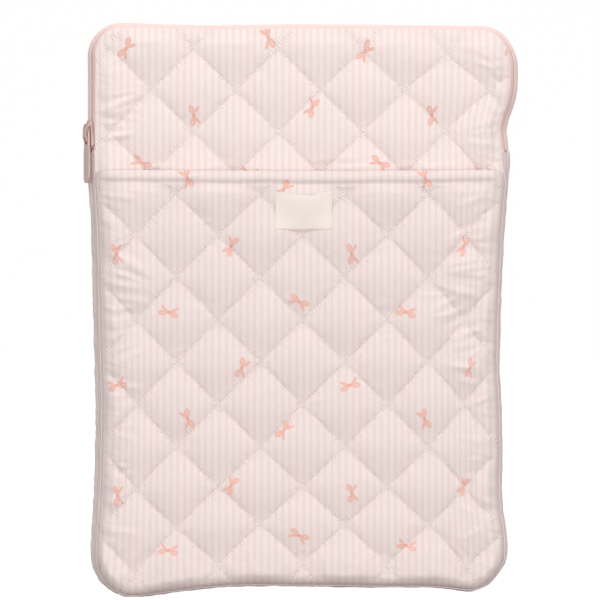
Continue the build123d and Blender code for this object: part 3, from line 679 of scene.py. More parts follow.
def front_y(x, z, detail=True):
    s = inset_of(x, z)
    q = quilt(x, z, F0[0], F0[1], 3.2, 11) if detail else 1.8
    rim = quarter((s - SEAM) / 9.0)
    base = 8.0 + 0.9 * rim
    lift = sstep(0.0, 8.5, s - SEAM)
    v = base + q * lift
    if detail:
        v = v + (0.85 * strokes(x, z, FLAP_FOLDS) + strokes(x, z, FLAP_CREASES)) * lift
        v = v + 0.35 * fbm(x / 7.0, z / 7.0, 60, 2) * sstep(0, 4, s - SEAM) * (1 - sstep(8, 22, s - SEAM))
        v = v + 0.7 * pucker(x, z, s)
    return -v


def hem_dip(x):
    """The hem sags a touch between its ends."""
    return -0.9 * np.sin((x + 126) / 252 * math.pi) + 0.25 * noise2(x / 24.0, x * 0, 71)


def pocket_y(x, z, detail=True):
    s = inset_of(x, z)
    low = 1 - sstep(20, 60, z)
    side = quarter((s - SEAM) / (13.5 - 8.2 * low - 3.8 * (1 - low) * sstep(20, 90, x)))
    base = 8.15 + 7.7 * side
    up = sstep(0.0, 9.0 - 3.4 * low, s - SEAM)
    zz = z - hem_dip(x)
    below = STITCH_Z - zz
    q = quilt(x, z, P0[0], P0[1], 3.6, 23) if detail else 2.3
    near = sstep(0.0, 7.0, below)          # flat towards the hem stitching
    v = base + q * up * near
    # hem: a soft roll above the stitch line, a groove along it
    roll = np.where(below < 0, quarter(np.clip(-below, 0, 2.4) / 2.4) * quarter(np.clip(HEM_Z - zz + 0.4, 0, 2.4) / 2.4), 0)
    v = v + (1.0 * roll + 1.3 * (1 - near)) * up
    v = v - 0.75 * np.exp(-(below / 0.9) ** 2) * up
    if detail:
        v = v + (0.72 * strokes(x, z, POCKET_FOLDS) + strokes(x, z, POCKET_CREASES)) * up * near
        rip = noise2(x / 2.6, zz / 30.0, 81) * 0.38 + noise2(x / 7.0, zz / 40.0, 82) * 0.42
        v = v + rip * np.exp(-np.abs(below - 1.5) / 3.6) * up
        v = v + 0.4 * fbm(x / 8.0, z / 6.0, 64, 2) * sstep(0, 4, s - SEAM) * (1 - sstep(10, 26, s - SEAM))
        v = v + pucker(x, z, s) * (1 - sstep(HEM_Z - 9, HEM_Z - 3, z))
    return -v


def back_y(x, z, detail=True):
    s = inset_of(x, z)
    q = quilt(x, z, 0.0, 219.95, 3.0, 37) if detail else 1.5
    rim = quarter((s - SEAM) / 9.0)
    lift = sstep(0.0, 8.5, s - SEAM)
    v = 8.0 + 0.6 * rim + q * lift
    if detail:
        v = v + 0.35 * fbm(x / 7.0, z / 7.0, 90, 2) * sstep(0, 4, s - SEAM) * (1 - sstep(8, 22, s - SEAM))
    return v


def surface(name, fy, limits, x0, z0, inset, offset, material, flip=False, kind="tri", seam_y=None):
    P, Q, quads, tris, b = grid_region(limits[0], limits[1], limits[2], limits[3], x0, z0, inset)
    y = fy(P, Q)
    wx, wz = soft(P, y, Q)
    v = np.stack([wx, y, wz], 1)
    f = tris if kind == "tri" else quads
    if flip:
        f = f[:, ::-1]
    uv = cloth_uvs(np.stack([P, Q], 1), f, offset)
    cor = np.stack([P, Q], 1)[f.ravel()]
    uv["OFBake"] = np.stack([(cor[:, 0] + 131.5) / 263.0, (cor[:, 1] + 0.5) / 351.0], 1)
    o = new_mesh(name, v, f, uv)
    o.data.materials.append(material)
    return o


# bow print: the upper front is cut from another part of the cloth than the pocket
OFF_POCKET = (0.0, 0.0)
OFF_FLAP = (81 * 0.6076, 139 * 0.6076)
OFF_BACK = (31.0, 52.0)


def bend(o):
    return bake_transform(o)


front_skin = surface("front_quilted_cloth", front_y, (-126.0, 126.0, 5.0, 345.0), F0[0], F0[1], SEAM,
                     OFF_FLAP, M_FRONT)
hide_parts("front_face_fabric", "flap_face_fabric", "front_wadding", "flap_wadding")

back_skin = surface("back_quilted_cloth", back_y, (-126.0, 126.0, 5.0, 345.0), 0.0, 219.95, SEAM,
                    OFF_BACK, M_BACK, flip=True)
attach(back_skin, "sleeve")
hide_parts("back_face_fabric", "back_wadding")


# ---- pocket: outer face, rolled hem, a short turn-in behind it --------------
def pocket_mesh():
    P, Q, quads, tris, b = grid_region(-126.0, 126.0, 5.0, HEM_Z, P0[0], P0[1], SEAM)
    top = b & (Q > HEM_Z - 0.01)
    order = np.argsort(P[top])
    ti = np.nonzero(top)[0][order]
    y = pocket_y(P, Q)
    dip = hem_dip(P) * sstep(HEM_Z - 40, HEM_Z, Q)
    wx, wz = soft(P, y, Q)
    v = [np.stack([wx, y, wz + dip], 1)]
    cloth = [np.stack([P, Q], 1)]
    f = [tris]
    n = len(P)
    prev = ti
    tx, tq, ty = P[ti], Q[ti], y[ti]
    s = inset_of(tx, tq)
    inner = -(8.3 + 5.6 * quarter((s - SEAM) / 12.0))      # inside face of the pocket
    half = np.clip((inner - ty) / 2, 0.15, 3.0)
    rows = 10
    for k in range(1, rows + 14):
        if k <= rows:
            a = math.pi * k / rows
            yy = ty + half * (1 - math.cos(a))
            zz = HEM_Z + np.minimum(half, 1.7) * math.sin(a)
        else:
            yy = inner + 0.0 * ty
            zz = np.full(len(ti), HEM_Z - (k - rows) * 2.0)
        cl = HEM_Z + np.where(k <= rows, k * 0.5, rows * 0.5 + (k - rows) * 2.0)
        w2x, w2z = soft(tx, yy, np.minimum(zz, HEM_Z))
        v.append(np.stack([w2x, yy, zz + (w2z - np.minimum(zz, HEM_Z)) + hem_dip(tx)], 1))
        cloth.append(np.stack([tx, np.full(len(ti), float(cl))], 1))
        cur = n + np.arange(len(ti))
        n += len(ti)
        a0, a1, b0, b1 = prev[:-1], prev[1:], cur[:-1], cur[1:]
        f.append(np.stack([a0, a1, b1], 1))
        f.append(np.stack([a0, b1, b0], 1))
        prev = cur
    v, cloth, f = np.concatenate(v), np.concatenate(cloth), np.concatenate(f)
    uv = cloth_uvs(cloth, f, OFF_POCKET)
    cor = cloth[f.ravel()]
    uv["OFBake"] = np.stack([(cor[:, 0] + 131.5) / 263.0, (cor[:, 1] + 0.5) / 300.0], 1)
    o = new_mesh("pocket_quilted_cloth", v, f, uv)
    o.data.materials.append(M_POCKET)
    return o


pocket_skin = pocket_mesh()
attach(pocket_skin, "sleeve")
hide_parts("pocket_face_fabric", "pocket_wadding", "pocket_hem_band")


# ---- linings ----------------------------------------------------------------
def lining_front_y(x, z):
    s = inset_of(x, z)
    return -(6.5 + 0.3 * 0 - 0.0 * x) - 0.9 * (1 - quilt(x, z, F0[0], F0[1], 1.0, 15, 0.5)) * sstep(0, 8, s - 6) * 0.9


def lining_back_y(x, z):
    s = inset_of(x, z)
    return 6.5 + 0.9 * (1 - quilt(x, z, 0.0, 219.95, 1.0, 19, 0.5)) * sstep(0, 8, s - 6) * 0.9


def lining_pocket_y(x, z):
    s = inset_of(x, z)
    return -(8.3 + 5.9 * quarter((s - SEAM) / 12.0)) - 0.9 * (1 - quilt(x, z, P0[0], P0[1], 1.0, 29, 0.5)) * sstep(0, 8, s - 8)


G_SAVE = G
lin_front = surface("front_lining_cloth", lining_front_y, (-125.0, 125.0, 6.0, 344.0), F0[0], F0[1], 6.0,
                    (0, 0), M_LINING, flip=True)
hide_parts("front_lining", "flap_lining")
lin_back = surface("back_lining_cloth", lining_back_y, (-125.0, 125.0, 6.0, 344.0), 0.0, 219.95, 6.0,
                   (0, 0), M_LINING)
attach(lin_back, "sleeve")
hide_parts("back_lining")
lin_pocket = surface("pocket_lining_cloth", lining_pocket_y, (-125.0, 125.0, 6.0, HEM_Z - 20.0), P0[0], P0[1], 6.0,
                     (0, 0), M_LINING, flip=True)
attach(lin_pocket, "sleeve")
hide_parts("pocket_lining")


# ---------------------------------------------------------------------------
# Edge band: gusset below, zip above
# ---------------------------------------------------------------------------
def outline_points(step, z_from=None, z_to=None, which="all"):
    """Points along the plain outline with inward normals: (x, z, nx, nz, length)."""
    pts = []

    def line(x0, z0, x1, z1, nx, nz):
        l = math.hypot(x1 - x0, z1 - z0)
        k = max(1, int(round(l / step)))
        for i in range(k):
            t = i / k
            pts.append((x0 + (x1 - x0) * t, z0 + (z1 - z0) * t, nx, nz))

    def arc(cx, cz, r, a0, a1):
        k = max(2, int(round(abs(a1 - a0) * r / step)))
        for i in range(k):
            a = a0 + (a1 - a0) * i / k
            pts.append((cx + r * math.cos(a), cz + r * math.sin(a), -math.cos(a), -math.sin(a)))

    if which == "arch":          # up the left side, over the top, down the right side
        line(-HW, z_from, -HW, H - RT, 1, 0)
        arc(-HW + RT, H - RT, RT, math.pi, math.pi / 2)
        line(-HW + RT, H, HW - RT, H, 0, -1)
        arc(HW - RT, H - RT, RT, math.pi / 2, 0)
        line(HW, H - RT, HW, z_from, -1, 0)
        pts.append((HW, z_from, -1, 0))
    elif which == "left":
        line(-HW, z_from, -HW, z_to, 1, 0)
        pts.append((-HW, z_to, 1, 0))
    elif which == "right":
        line(HW, z_from, HW, z_to, -1, 0)
        pts.append((HW, z_to, -1, 0))
    elif which == "u":           # down the left side, along the bottom, up the right side
        line(-HW, z_from, -HW, RB, 1, 0)
        arc(-HW + RB, RB, RB, math.pi, 1.5 * math.pi)
        line(-HW + RB, 0, HW - RB, 0, 0, 1)
        arc(HW - RB, RB, RB, -math.pi / 2, 0)
        line(HW, RB, HW, z_from, -1, 0)
        pts.append((HW, z_from, -1, 0))
    pts = np.array(pts)
    d = np.hypot(np.diff(pts[:, 0]), np.diff(pts[:, 1]))
    return np.column_stack([pts, np.concatenate([[0], np.cumsum(d)])])


# cross-section (inset, depth), front seam to rear seam; the zip runs down the middle of the
# straight 30 degree stretch
TILT = math.radians(30)
ALONG = np.array([-math.sin(TILT), math.cos(TILT)])
OUTN = np.array([-math.cos(TILT), -math.sin(TILT)])


def facet(d, n=0.0):
    return np.array([SEAM, -8.0]) + d * ALONG + n * OUTN


def section_curve(d0, n, rows):
    """Points of the band from facet distance d0 round to the rear seam, offset n outward."""
    key = [facet(d0), facet(8.6), np.array([0.12, 0.6]), np.array([0.0, 2.2]), np.array([0.5, 4.3]),
           np.array([2.1, 6.3]), np.array([SEAM, 8.0])]
    if d0 > 0:
        key = [facet(d0), facet((d0 + 8.6) / 2)] + key[1:]
    else:
        key = [facet(0), facet(2.8), facet(5.6)] + key[1:]
    key = np.array(key)
    # resample a smooth curve
    t = np.concatenate([[0], np.cumsum(np.hypot(*np.diff(key, axis=0).T))])
    tt = np.linspace(0, t[-1], 60)
    cs = np.column_stack([curve1(np.column_stack([t, key[:, i]]), tt) for i in (0, 1)])
    tan = np.gradient(cs, axis=0)
    tan /= np.hypot(tan[:, 0], tan[:, 1])[:, None]
    nor = np.column_stack([-tan[:, 1], tan[:, 0]])
    cs = cs + nor * n
    l = np.concatenate([[0], np.cumsum(np.hypot(*np.diff(cs, axis=0).T))])
    s = np.linspace(0, l[-1], rows)
    return np.column_stack([np.interp(s, l, cs[:, 0]), np.interp(s, l, cs[:, 1])]), s


def band(name, path, prof, along, material, wobble=0.3, seed=3, thick=0.0, uv_turn=True, flip=False, puff=0.0):
    """Sweeps a cross-section (inset, depth) along the outline, then warps it to the soft outline."""
    n, m = len(path), len(prof)
    S = prof[None, :, 0] + 0 * path[:, None, 0]
    Y = prof[None, :, 1] + 0 * path[:, None, 0]
    L = np.repeat(path[:, None, 4], m, 1)
    A = np.repeat(along[None, :], n, 0)
    mid = np.sin(np.linspace(0, math.pi, m))[None, :]
    w = wobble * fbm(L / 9.0, A / 5.0, seed, 3) + 0.4 * wobble * noise2(L / 2.6, A / 9.0, seed + 3)
    if puff:
        w = w + puff * 0.6
    S = S - w * mid
    X = path[:, None, 0] + S * path[:, None, 2]
    Z = path[:, None, 1] + S * path[:, None, 3]
    wx, wz = soft(X, Y, Z)
    v = np.stack([wx, Y, wz], -1).reshape(-1, 3)
    idx = np.arange(n * m).reshape(n, m)
    f = np.stack([idx[:-1, :-1], idx[1:, :-1], idx[1:, 1:], idx[:-1, 1:]], -1).reshape(-1, 4)
    if flip:
        f = f[:, ::-1]
    cl = np.stack([A, L], -1).reshape(-1, 2) if uv_turn else np.stack([L, A], -1).reshape(-1, 2)
    if thick:
        inner = v.copy()
        nn = vertex_normals(v, f)
        inner = v - nn * thick
        base = len(v)
        f2 = f[:, ::-1] + base
        rim = []
        for r in (idx[0, :], idx[-1, ::-1], idx[::-1, 0], idx[:, -1]):
            rim.append(np.stack([r[:-1], r[1:], r[1:] + base, r[:-1] + base], 1))
        rim = np.concatenate(rim)
        v = np.concatenate([v, inner])
        cl = np.concatenate([cl, cl])
        f = np.concatenate([f, f2, rim])
    o = new_mesh(name, v, f, {"cloth": cl[f.ravel()] * 0.01, "bow": np.zeros((f.size, 2))})
    o.data.materials.append(material)
    fix_normals(o)
    return o


def vertex_normals(v, f):
    a, b, c = v[f[:, 0]], v[f[:, 1]], v[f[:, 2]]
    fn = np.cross(b - a, c - a)
    nn = np.zeros_like(v)
    for k in range(f.shape[1]):
        np.add.at(nn, f[:, k], fn)
    return nn / (np.linalg.norm(nn, axis=1)[:, None] + 1e-12)


def fix_normals(o):
    import bmesh
    bm = bmesh.new()
    bm.from_mesh(o.data)
    bmesh.ops.recalc_face_normals(bm, faces=bm.faces)
    bm.to_mesh(o.data)
    bm.free()
    o.data.update()


prof, al = section_curve(0.0, 0.0, 26)
gusset = band("side_gusset_cloth", outline_points(1.6, z_from=ZIP_END + 1.0, which="u"), prof, al, M_GUSSET,
              wobble=0.55, seed=41, thick=0.5, puff=0.3)
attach(gusset, "sleeve")
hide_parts("side_gusset")
prof, al = section_curve(0.0, -1.2, 20)
gus_lin = band("gusset_lining_cloth", outline_points(2.5, z_from=ZIP_END + 1.0, which="u"), prof, al, M_LINING,
               wobble=0.2, seed=43, thick=0.25)
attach(gus_lin, "sleeve")
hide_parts("gusset_lining")

D_C = 5.0
prof, al = section_curve(D_C + 0.55, 0.0, 18)
tape_back = band("zip_tape_rear", outline_points(1.5, z_from=ZIP_END - 1.0, which="arch"), prof, al, M_TAPE,
                 wobble=0.18, seed=45, thick=0.45)
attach(tape_back, "sleeve")
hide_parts("zip_tape_back")
k = np.linspace(0, D_C - 0.55, 9)
prof = np.array([facet(d, 0.0) for d in k])
tape_front = band("zip_tape_fore", outline_points(1.5, z_from=ZIP_END - 1.0, which="arch"), prof, k, M_TAPE,
                  wobble=0.12, seed=47, thick=0.45)
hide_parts("zip_tape_front", "zip_tape_end_left", "zip_tape_end_right")


# ---- zip teeth: turns of a nylon coil ---------------------------------------
def coil_mesh(name, path, side, pitch=1.25):
    """One tooth per turn; side -1 is the front half, +1 the rear half."""
    L = path[-1, 4]
    count = int(L / pitch)
    V, F = [], []
    ring = 6
    base_d = np.array([-2.1, -1.6, -0.98, -0.74, -0.98, -1.6, -2.1])
    base_n = np.array([0.28, 0.30, 0.24, 0.0, -0.24, -0.30, -0.28])
    for i in range(count):
        l = (i + (0.5 if side > 0 else 0.0) + 0.25) * pitch
        if l > L:
            break
        x, z, nx, nz = (np.interp(l, path[:, 4], path[:, c]) for c in range(4))
        ln = math.hypot(nx, nz)
        nx, nz = nx / ln, nz / ln
        tx, tz = -nz, nx
        pts = []
        # the halves mesh except where the slider's post travels
        reach = 0.0 if (x < 0 and z < 332.0) else 1.0
        for i_, (bd, bn, sk) in enumerate(zip(base_d, base_n, np.linspace(-0.10, 0.10, 7))):
            bd = bd + reach * (0.0, 0.1, 0.8, 1.15, 0.8, 0.1, 0.0)[i_]
            d = D_C + (bd if side < 0 else -bd)
            s, y = facet(d, bn - 0.68)
            pts.append((x + s * nx + sk * tx, y, z + s * nz + sk * tz))
        pts = np.array(pts)
        tang = np.gradient(pts, axis=0)
        tang /= np.linalg.norm(tang, axis=1)[:, None]
        up = np.array([tx, 0, tz])
        o = len(V)
        for p, tg in zip(pts, tang):
            e1 = np.cross(tg, up)
            e1 /= np.linalg.norm(e1) + 1e-9
            e2 = np.cross(tg, e1)
            for r in range(ring):
                a = 2 * math.pi * r / ring
                V.append(p + 0.23 * (math.cos(a) * e1) + 0.27 * (math.sin(a) * e2))
        for a in range(6):
            for r in range(ring):
                r2 = (r + 1) % ring
                F.append((o + a * ring + r, o + a * ring + r2, o + (a + 1) * ring + r2, o + (a + 1) * ring + r))
        F.append(tuple(o + r for r in range(ring))[::-1] if ring == 4 else (o, o + 5, o + 4, o + 3))
        F.append((o, o + 3, o + 2, o + 1))
        e = o + 6 * ring
        F.append((e, e + 1, e + 2, e + 3))
        F.append((e, e + 3, e + 4, e + 5))
    V = np.array(V)
    wx, wz = soft(V[:, 0], V[:, 1], V[:, 2])
    V = np.stack([wx, V[:, 1], wz], 1)
    o = new_mesh(name, V, np.array(F))
    o.data.materials.append(M_COIL)
    fix_normals(o)
    return o


coil_b = coil_mesh("zip_coil_rear", outline_points(1.0, z_from=ZIP_END + 2.0, which="arch"), +1)
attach(coil_b, "sleeve")
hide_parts("zip_coil_back")
coil_f = coil_mesh("zip_coil_fore", outline_points(1.0, z_from=ZIP_END + 2.0, which="arch"), -1)
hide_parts("zip_coil_front", "zip_coil_end_left", "zip_coil_end_right")


def stop_mesh(name, side):
    """A small metal staple across both halves of the zip."""
    x, z0, nx = side * HW, ZIP_END + 1.0, -side
    ring_d, ring_n = [], []
    for a in np.linspace(0, 2 * math.pi, 25)[:-1]:
        ca, sa = math.cos(a), math.sin(a)
        ring_d.append(D_C + 2.15 * abs(ca) ** 0.6 * math.copysign(1, ca))
        ring_n.append(-0.35 + 1.15 * abs(sa) ** 0.7 * math.copysign(1, sa))
    rows = []
    for t, k in ((-0.75, 0.86), (-0.6, 0.96), (-0.35, 1.0), (0.35, 1.0), (0.6, 0.96), (0.75, 0.86)):
        row = []
        for dd, nn in zip(ring_d, ring_n):
            s_, y_ = facet(D_C + (dd - D_C) * k, -0.35 + (nn + 0.35) * k)
            row.append((x + s_ * nx, y_, z0 + t))
        rows.append(row)
    V = np.array(rows).reshape(-1, 3)
    m = 24
    F = []
    for i in range(5):
        for j in range(m):
            j2 = (j + 1) % m
            F.append((i * m + j, i * m + j2, (i + 1) * m + j2, (i + 1) * m + j))
    F = [list(f) for f in F] + [list(range(m)), list(range(5 * m, 6 * m))]
    wx, wz = warp(V[:, 0], V[:, 2])
    o = new_mesh(name, np.stack([wx, V[:, 1], wz], 1), F)
    o.data.materials.append(M_METAL)
    fix_normals(o)
    return o


for nm, side in (("left", -1), ("right", 1)):
    st = stop_mesh("zip_stop_clip_" + nm, side)
    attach(st, "sleeve")
    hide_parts("zip_stop_" + nm)


# ---- inside bindings over the seams -----------------------------------------
def binding(name, path, front, seed):
    sgn = -1 if front else 1
    key = np.array([(7.4, 6.9), (7.3, 6.0), (8.2, 5.62), (9.6, 5.55), (11.0, 5.7), (11.5, 6.1), (11.4, 6.9)])
    key[:, 1] *= sgn
    al = np.concatenate([[0], np.cumsum(np.hypot(*np.diff(key, axis=0).T))])
    return band(name, path, key, al, M_BINDING, wobble=0.12, seed=seed)


full = np.concatenate([outline_points(2.5, z_from=175.0, which="arch")[:-1], outline_points(2.5, z_from=175.0, which="u")[::-1]])
d = np.hypot(np.diff(full[:, 0]), np.diff(full[:, 1]))
full[:, 4] = np.concatenate([[0], np.cumsum(d)])
bind_b = binding("seam_binding_rear", full, False, 51)
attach(bind_b, "sleeve")
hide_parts("back_seam_binding")
bind_f = binding("seam_binding_fore", full, True, 53)
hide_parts("front_seam_binding", "flap_seam_binding")


# ---------------------------------------------------------------------------
# Stitches: small capsules laid along lines on a surface
# ---------------------------------------------------------------------------
CAP_T = np.array([-1.0, -0.82, -0.4, 0.4, 0.82, 1.0])
CAP_R = np.array([0.25, 0.75, 1.0, 1.0, 0.75, 0.25])


def capsules(name, centres, dirs, normals, length, radius, material, sag=0.0):
    """Rows of stitches; centres are in soft coordinates (mm)."""
    ring = 6
    C, D, N = np.asarray(centres, float), np.asarray(dirs, float), np.asarray(normals, float)
    D /= np.linalg.norm(D, axis=1)[:, None]
    B = np.cross(D, N)
    B /= np.linalg.norm(B, axis=1)[:, None]
    N = np.cross(B, D)
    a = 2 * math.pi * np.arange(ring) / ring
    V = (C[:, None, None, :]
         + D[:, None, None, :] * (CAP_T[None, :, None, None] * length / 2)
         + (N[:, None, None, :] * (-sag * (CAP_T[None, :, None, None] ** 2)))
         + CAP_R[None, :, None, None] * radius * (np.cos(a)[None, None, :, None] * B[:, None, None, :]
                                                  + 0.8 * np.sin(a)[None, None, :, None] * N[:, None, None, :]))
    n = len(C)
    V = V.reshape(-1, 3)
    per = len(CAP_T) * ring
    F = []
    for i in range(len(CAP_T) - 1):
        for r in range(ring):
            r2 = (r + 1) % ring
            F.append((i * ring + r, i * ring + r2, (i + 1) * ring + r2, (i + 1) * ring + r))
    e = (len(CAP_T) - 1) * ring
    F += [(0, 3, 4, 5)[::1], (0, 1, 2, 3), (e + 3, e + 2, e + 1, e), (e, e + 5, e + 4, e + 3)]
    F = np.array(F)
    F = (F[None] + (np.arange(n) * per)[:, None, None]).reshape(-1, 4)
    o = new_mesh(name, V, F)
    o.data.materials.append(material)
    fix_normals(o)
    return o


def surf_point(fy, x, z, extra=0.0):
    y = fy(x, z)
    h = 0.6
    wx, wz = soft(x, y, z)
    return np.stack([wx, y + extra, wz], 1)


def quilt_stitches(name, fy, x0, z0, z_lo, z_hi, inset, sign, skip=None, length=1.62):
    cen, dr = [], []
    for fam in (1, -1):
        for k in range(-12, 13):
            t = (np.arange(-200, 200) + 0.5) * STITCH
            x = x0 + k * PITCH + t / math.sqrt(2)
            z = z0 + fam * t / math.sqrt(2)
            ok = (inset_of(x, z) > inset) & (z > z_lo) & (z < z_hi)
            if skip is not None:
                ok &= ~skip(x, z)
            x, z = x[ok], z[ok]
            if len(x) == 0:
                continue
            e = length / 2 / math.sqrt(2)
            a = surf_point(fy, x - e, z - fam * e)
            b = surf_point(fy, x + e, z + fam * e)
            m = surf_point(fy, x, z)
            c = (a + b) / 2
            c[:, 1] = np.where(sign < 0, np.minimum(c[:, 1], m[:, 1]), np.maximum(c[:, 1], m[:, 1]))
            c[:, 1] += sign * 0.10
            cen.append(c)
            dr.append(b - a)
    cen, dr = np.concatenate(cen), np.concatenate(dr)
    nor = np.tile(np.array([0.0, float(sign), 0.0]), (len(cen), 1))
    return capsules(name, cen, dr, nor, length, 0.2, M_THREAD, sag=0.1)


st_front = quilt_stitches("upper_quilting_stitches", front_y, F0[0], F0[1], 240.0, 342.0, SEAM + 1.5, -1)
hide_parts("front_quilting_thread", "flap_quilting_thread")
LABEL = (0.6, 235.2, 34.6, 23.1)


def under_label(x, z):
    return (np.abs(x - LABEL[0]) < LABEL[2] / 2 - 0.5) & (np.abs(z - LABEL[1]) < LABEL[3] / 2 - 0.5)


st_pocket = quilt_stitches("pocket_quilting_stitches", pocket_y, P0[0], P0[1], 6.0, STITCH_Z - 1.5, SEAM + 1.5, -1,
                           skip=under_label)
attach(st_pocket, "sleeve")
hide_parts("pocket_quilting_thread")
st_back = quilt_stitches("rear_quilting_stitches", back_y, 0.0, 219.95, 6.0, 344.0, SEAM + 1.5, +1)
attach(st_back, "sleeve")
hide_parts("back_quilting_thread")


def hem_stitches():
    x = np.arange(-119.0, 119.0, 2.9)
    z = STITCH_Z + hem_dip(x)
    e = 1.15

    def pt(xx):
        zz = np.full_like(xx, STITCH_Z)
        y = pocket_y(xx, zz + hem_dip(xx))
        wx, wz = soft(xx, y, zz)
        return np.stack([wx, y - 0.12, wz + hem_dip(xx)], 1)
    a, b = pt(x - e), pt(x + e)
    o = capsules("hem_topstitching", (a + b) / 2, b - a, np.tile([0, -1.0, 0], (len(x), 1)), 2.3, 0.27, M_THREAD, 0.1)
    return o


hem = hem_stitches()
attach(hem, "sleeve")
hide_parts("pocket_hem_stitching")


# ---- label ------------------------------------------------------------------
def label_mesh():
    lx, lz, lw, lh = LABEL
    nx, nz = 56, 40
    u, w = np.meshgrid(np.linspace(-1, 1, nx), np.linspace(-1, 1, nz))
    x, z = lx + u * lw / 2, lz + w * lh / 2
    # lies over the padding: follows it softly
    yb = np.zeros_like(x)
    for dx in (-6, -3, 0, 3, 6):
        for dz in (-6, -3, 0, 3, 6):
            yb += pocket_y(x + dx, np.minimum(z + dz, STITCH_Z - 3)) / 25
    y = yb - 0.55 - 0.25 * (1 - np.abs(u) ** 6) * (1 - np.abs(w) ** 6)
    y = y + 0.10 * fbm(x / 9, z / 7, 120, 2)
    y = y + 0.9 * np.clip(np.abs(w) - 0.93, 0, 1) * 6 * 0.4
    wx, wz = warp(x, z)
    # slightly uneven cut edges
    wz = wz + 0.12 * noise2(x / 6, z / 90, 121) * np.abs(w)
    wx = wx + 0.10 * noise2(z / 6, x / 90, 122) * np.abs(u)
    front = np.stack([wx, y, wz], -1).reshape(-1, 3)
    back = front + np.array([0, 0.55, 0])
    idx = np.arange(nx * nz).reshape(nz, nx)
    f = np.stack([idx[:-1, :-1], idx[:-1, 1:], idx[1:, 1:], idx[1:, :-1]], -1).reshape(-1, 4)
    base = nx * nz
    rim = []
    for r in (idx[0, :], idx[-1, ::-1], idx[::-1, 0], idx[:, -1]):
        rim.append(np.stack([r[:-1], r[:-1] + base, r[1:] + base, r[1:]], 1))
    F = np.concatenate([f, f[:, ::-1] + base] + rim)
    V = np.concatenate([front, back])
    cl = np.stack([x, z], -1).reshape(-1, 2)
    cl = np.concatenate([cl, cl])
    o = new_mesh("blank_label", V, F, {"cloth": cl[F.ravel()] * 0.01})
    o.data.materials.append(M_LABEL)
    fix_normals(o)
    bev = o.modifiers.new("soft", "SUBSURF")
    bev.levels = bev.render_levels = 1
    return o, (x, y, z)


label, lab_xyz = label_mesh()
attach(label, "sleeve")
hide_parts("woven_label")


def label_stitches():
    lx, lz, lw, lh = LABEL
    X, Y, Z = lab_xyz
    xs, zs = X[0], Z[:, 0]
    from_grid = lambda px, pz: np.array([
        Y[np.abs(zs - b).argmin(), np.abs(xs - a).argmin()] for a, b in zip(px, pz)])
    cen, dr = [], []
    m = 1.1
    for side in ("l", "r", "b", "t"):
        if side in "lr":
            z = np.arange(lz - lh / 2 + m, lz + lh / 2 - m, 1.9)
            x = np.full_like(z, lx + (-1 if side == "l" else 1) * (lw / 2 - m))
            a, b = (x, z - 0.7), (x, z + 0.7)
        else:
            x = np.arange(lx - lw / 2 + m, lx + lw / 2 - m, 1.9)
            z = np.full_like(x, lz + (-1 if side == "b" else 1) * (lh / 2 - m))
            a, b = (x - 0.7, z), (x + 0.7, z)
        pa = np.stack([warp(*a)[0], from_grid(*a) - 0.06, warp(*a)[1]], 1)
        pb = np.stack([warp(*b)[0], from_grid(*b) - 0.06, warp(*b)[1]], 1)
        cen.append((pa + pb) / 2)
        dr.append(pb - pa)
    cen, dr = np.concatenate(cen), np.concatenate(dr)
    return capsules("label_stitches", cen, dr, np.tile([0, -1.0, 0], (len(cen), 1)), 1.5, 0.15, M_LABEL_THREAD, 0.05)


M_LABEL_THREAD = solid_mat("label_thread", (240, 228, 216), 0.75, noise_scale=2500, var=0.1, sheen=0.2)
lst = label_stitches()
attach(lst, "sleeve")
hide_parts("label_stitching")

# ---- pieces that lie across the fold: transforms baked into their meshes, once the meshes are final ---
for o in (front_skin, lin_front, tape_front, coil_f, bind_f, st_front):
    bend(o)

# ---- metal parts stay as the CAD has them -----------------------------------
for n in ("slider_body", "slider_bridge", "pull_tab"):
    o = nodes[n]
    o.data.materials.clear()
    o.data.materials.append(M_METAL)

# ---------------------------------------------------------------------------
# Floor, light, camera
# ---------------------------------------------------------------------------
scene = bpy.context.scene
scene.view_settings.view_transform = "Standard"
scene.view_settings.look = "None"
scene.view_settings.exposure = 0.0
WORLD_DIM = 0.30
FLOOR_GLOW = 0.80

world = bpy.data.worlds.new("studio")
scene.world = world
world.use_nodes = True
wt = world.node_tree
bg = wt.nodes["Background"]
# a soft tent: bright overhead and in a low ring all round, dimmer between
tc = wt.nodes.new("ShaderNodeTexCoord")
sep = wt.nodes.new("ShaderNodeSeparateXYZ")
wt.links.new(tc.outputs["Generated"], sep.inputs[0])
ramp = wt.nodes.new("ShaderNodeValToRGB")
wt.links.new(sep.outputs[2], ramp.inputs[0])
cr = ramp.color_ramp
cr.interpolation = "EASE"
cr.elements[0].position, cr.elements[0].color = 0.0, (1.0, 1.0, 1.0, 1)
cr.elements[1].position, cr.elements[1].color = 1.0, (0.62, 0.615, 0.61, 1)
for pos, v in ((0.16, 1.0), (0.34, WORLD_DIM), (0.66, WORLD_DIM), (0.88, 0.62)):
    e = cr.elements.new(pos)
    e.color = (v, v * 0.992, v * 0.985, 1)
wt.links.new(ramp.outputs[0], bg.inputs[0])
bg.inputs[1].default_value = 1.0


def plane_mesh(name, verts, faces, material):
    me = bpy.data.meshes.new(name)
    me.from_pydata(verts, [], faces)
    me.update()
    o = bpy.data.objects.new(name, me)
    scene.collection.objects.link(o)
    o.data.materials.append(material)
    return o


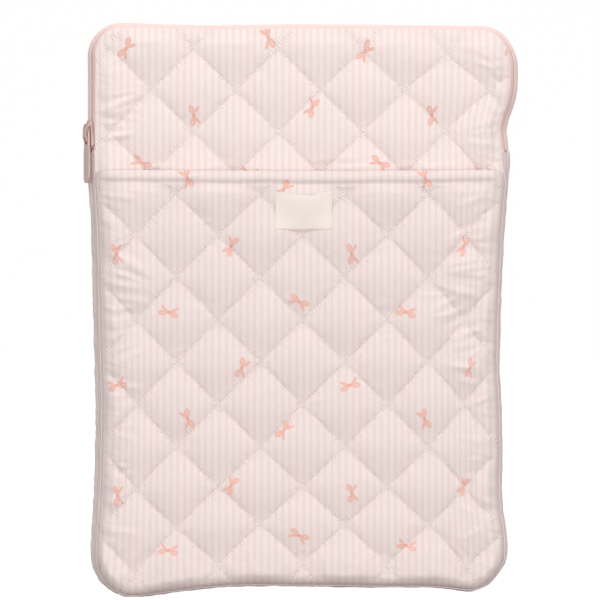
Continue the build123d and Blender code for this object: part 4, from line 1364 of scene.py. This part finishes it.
fl = Nodes("studio_floor")
fn = fl.noise(fl.obj(), 3.0, 2.0)
fg = fl.mix(fn, (0.55, 0.55, 0.55, 1), (0.58, 0.58, 0.58, 1))
fl.link(fg, fl.bsdf.inputs["Base Color"])
fl.bsdf.inputs["Roughness"].default_value = 0.9
fl.bsdf.inputs["Emission Color"].default_value = (1, 1, 1, 1)
fl.bsdf.inputs["Emission Strength"].default_value = FLOOR_GLOW
floor = plane_mesh("studio_floor", [(-15, -15, 0), (15, -15, 0), (15, 15, 0), (-15, 15, 0)], [(0, 1, 2, 3)], fl.mat)
# the floor's own glow stays on the floor, and the overhead key leaves the floor alone
only_floor = bpy.data.collections.new("floor_only")
only_floor.objects.link(floor)
floor.light_linking.receiver_collection = only_floor
not_floor = bpy.data.collections.new("not_floor")
not_floor.objects.link(floor)
not_floor.collection_objects[0].light_linking.link_state = "EXCLUDE"

cx, cz = (-1.5 + SHIFT[0]) * MM, 181.06 * MM
cam_data = bpy.data.cameras.new("camera")
cam = bpy.data.objects.new("camera", cam_data)
scene.collection.objects.link(cam)
dist = 4.0
cam_data.sensor_width = 36.0
cam_data.lens = 36.0 * (dist - 0.013) / 0.36456
cam_data.clip_end = 50
cam.location = (cx, -dist, cz)
cam.rotation_euler = (math.radians(90), 0, 0)
scene.camera = cam


def area(name, loc, target, size, power, colour=(1, 1, 1)):
    d = bpy.data.lights.new(name, "AREA")
    d.shape = "RECTANGLE"
    d.size, d.size_y = size
    d.energy = power
    d.color = colour
    o = bpy.data.objects.new(name, d)
    scene.collection.objects.link(o)
    o.location = loc
    v = Vector(target) - Vector(loc)
    o.rotation_euler = v.to_track_quat("-Z", "Y").to_euler()
    return o


key = area("key_top", (0.12, -1.45, 2.55), (0, 0, 0.17), (2.2, 1.2), 30.4, (1.0, 0.99, 0.98))
key.light_linking.receiver_collection = not_floor
fill = area("front_fill", (0.18, -3.0, 0.05), (0, 0, 0.16), (2.4, 1.8), 35.6, (1.0, 0.99, 0.98))
back = area("back_key", (0.4, 1.6, 2.4), (0, 0, 0.17), (2.2, 1.2), 15.0, (1.0, 0.99, 0.98))
back.light_linking.receiver_collection = not_floor
# the white table's bounce, which lifts the cloth that turns under at the bottom
bounce = area("table_bounce", (0.0, -1.0, -0.75), (0, 0, 0.02), (1.8, 0.9), 1.3, (1.0, 0.985, 0.975))
bounce.light_linking.receiver_collection = not_floor
bounce.light_linking.blocker_collection = not_floor
fill.light_linking.receiver_collection = not_floor
fill.light_linking.blocker_collection = not_floor
for k in (key, back, fill, bounce):
    k.visible_camera = False
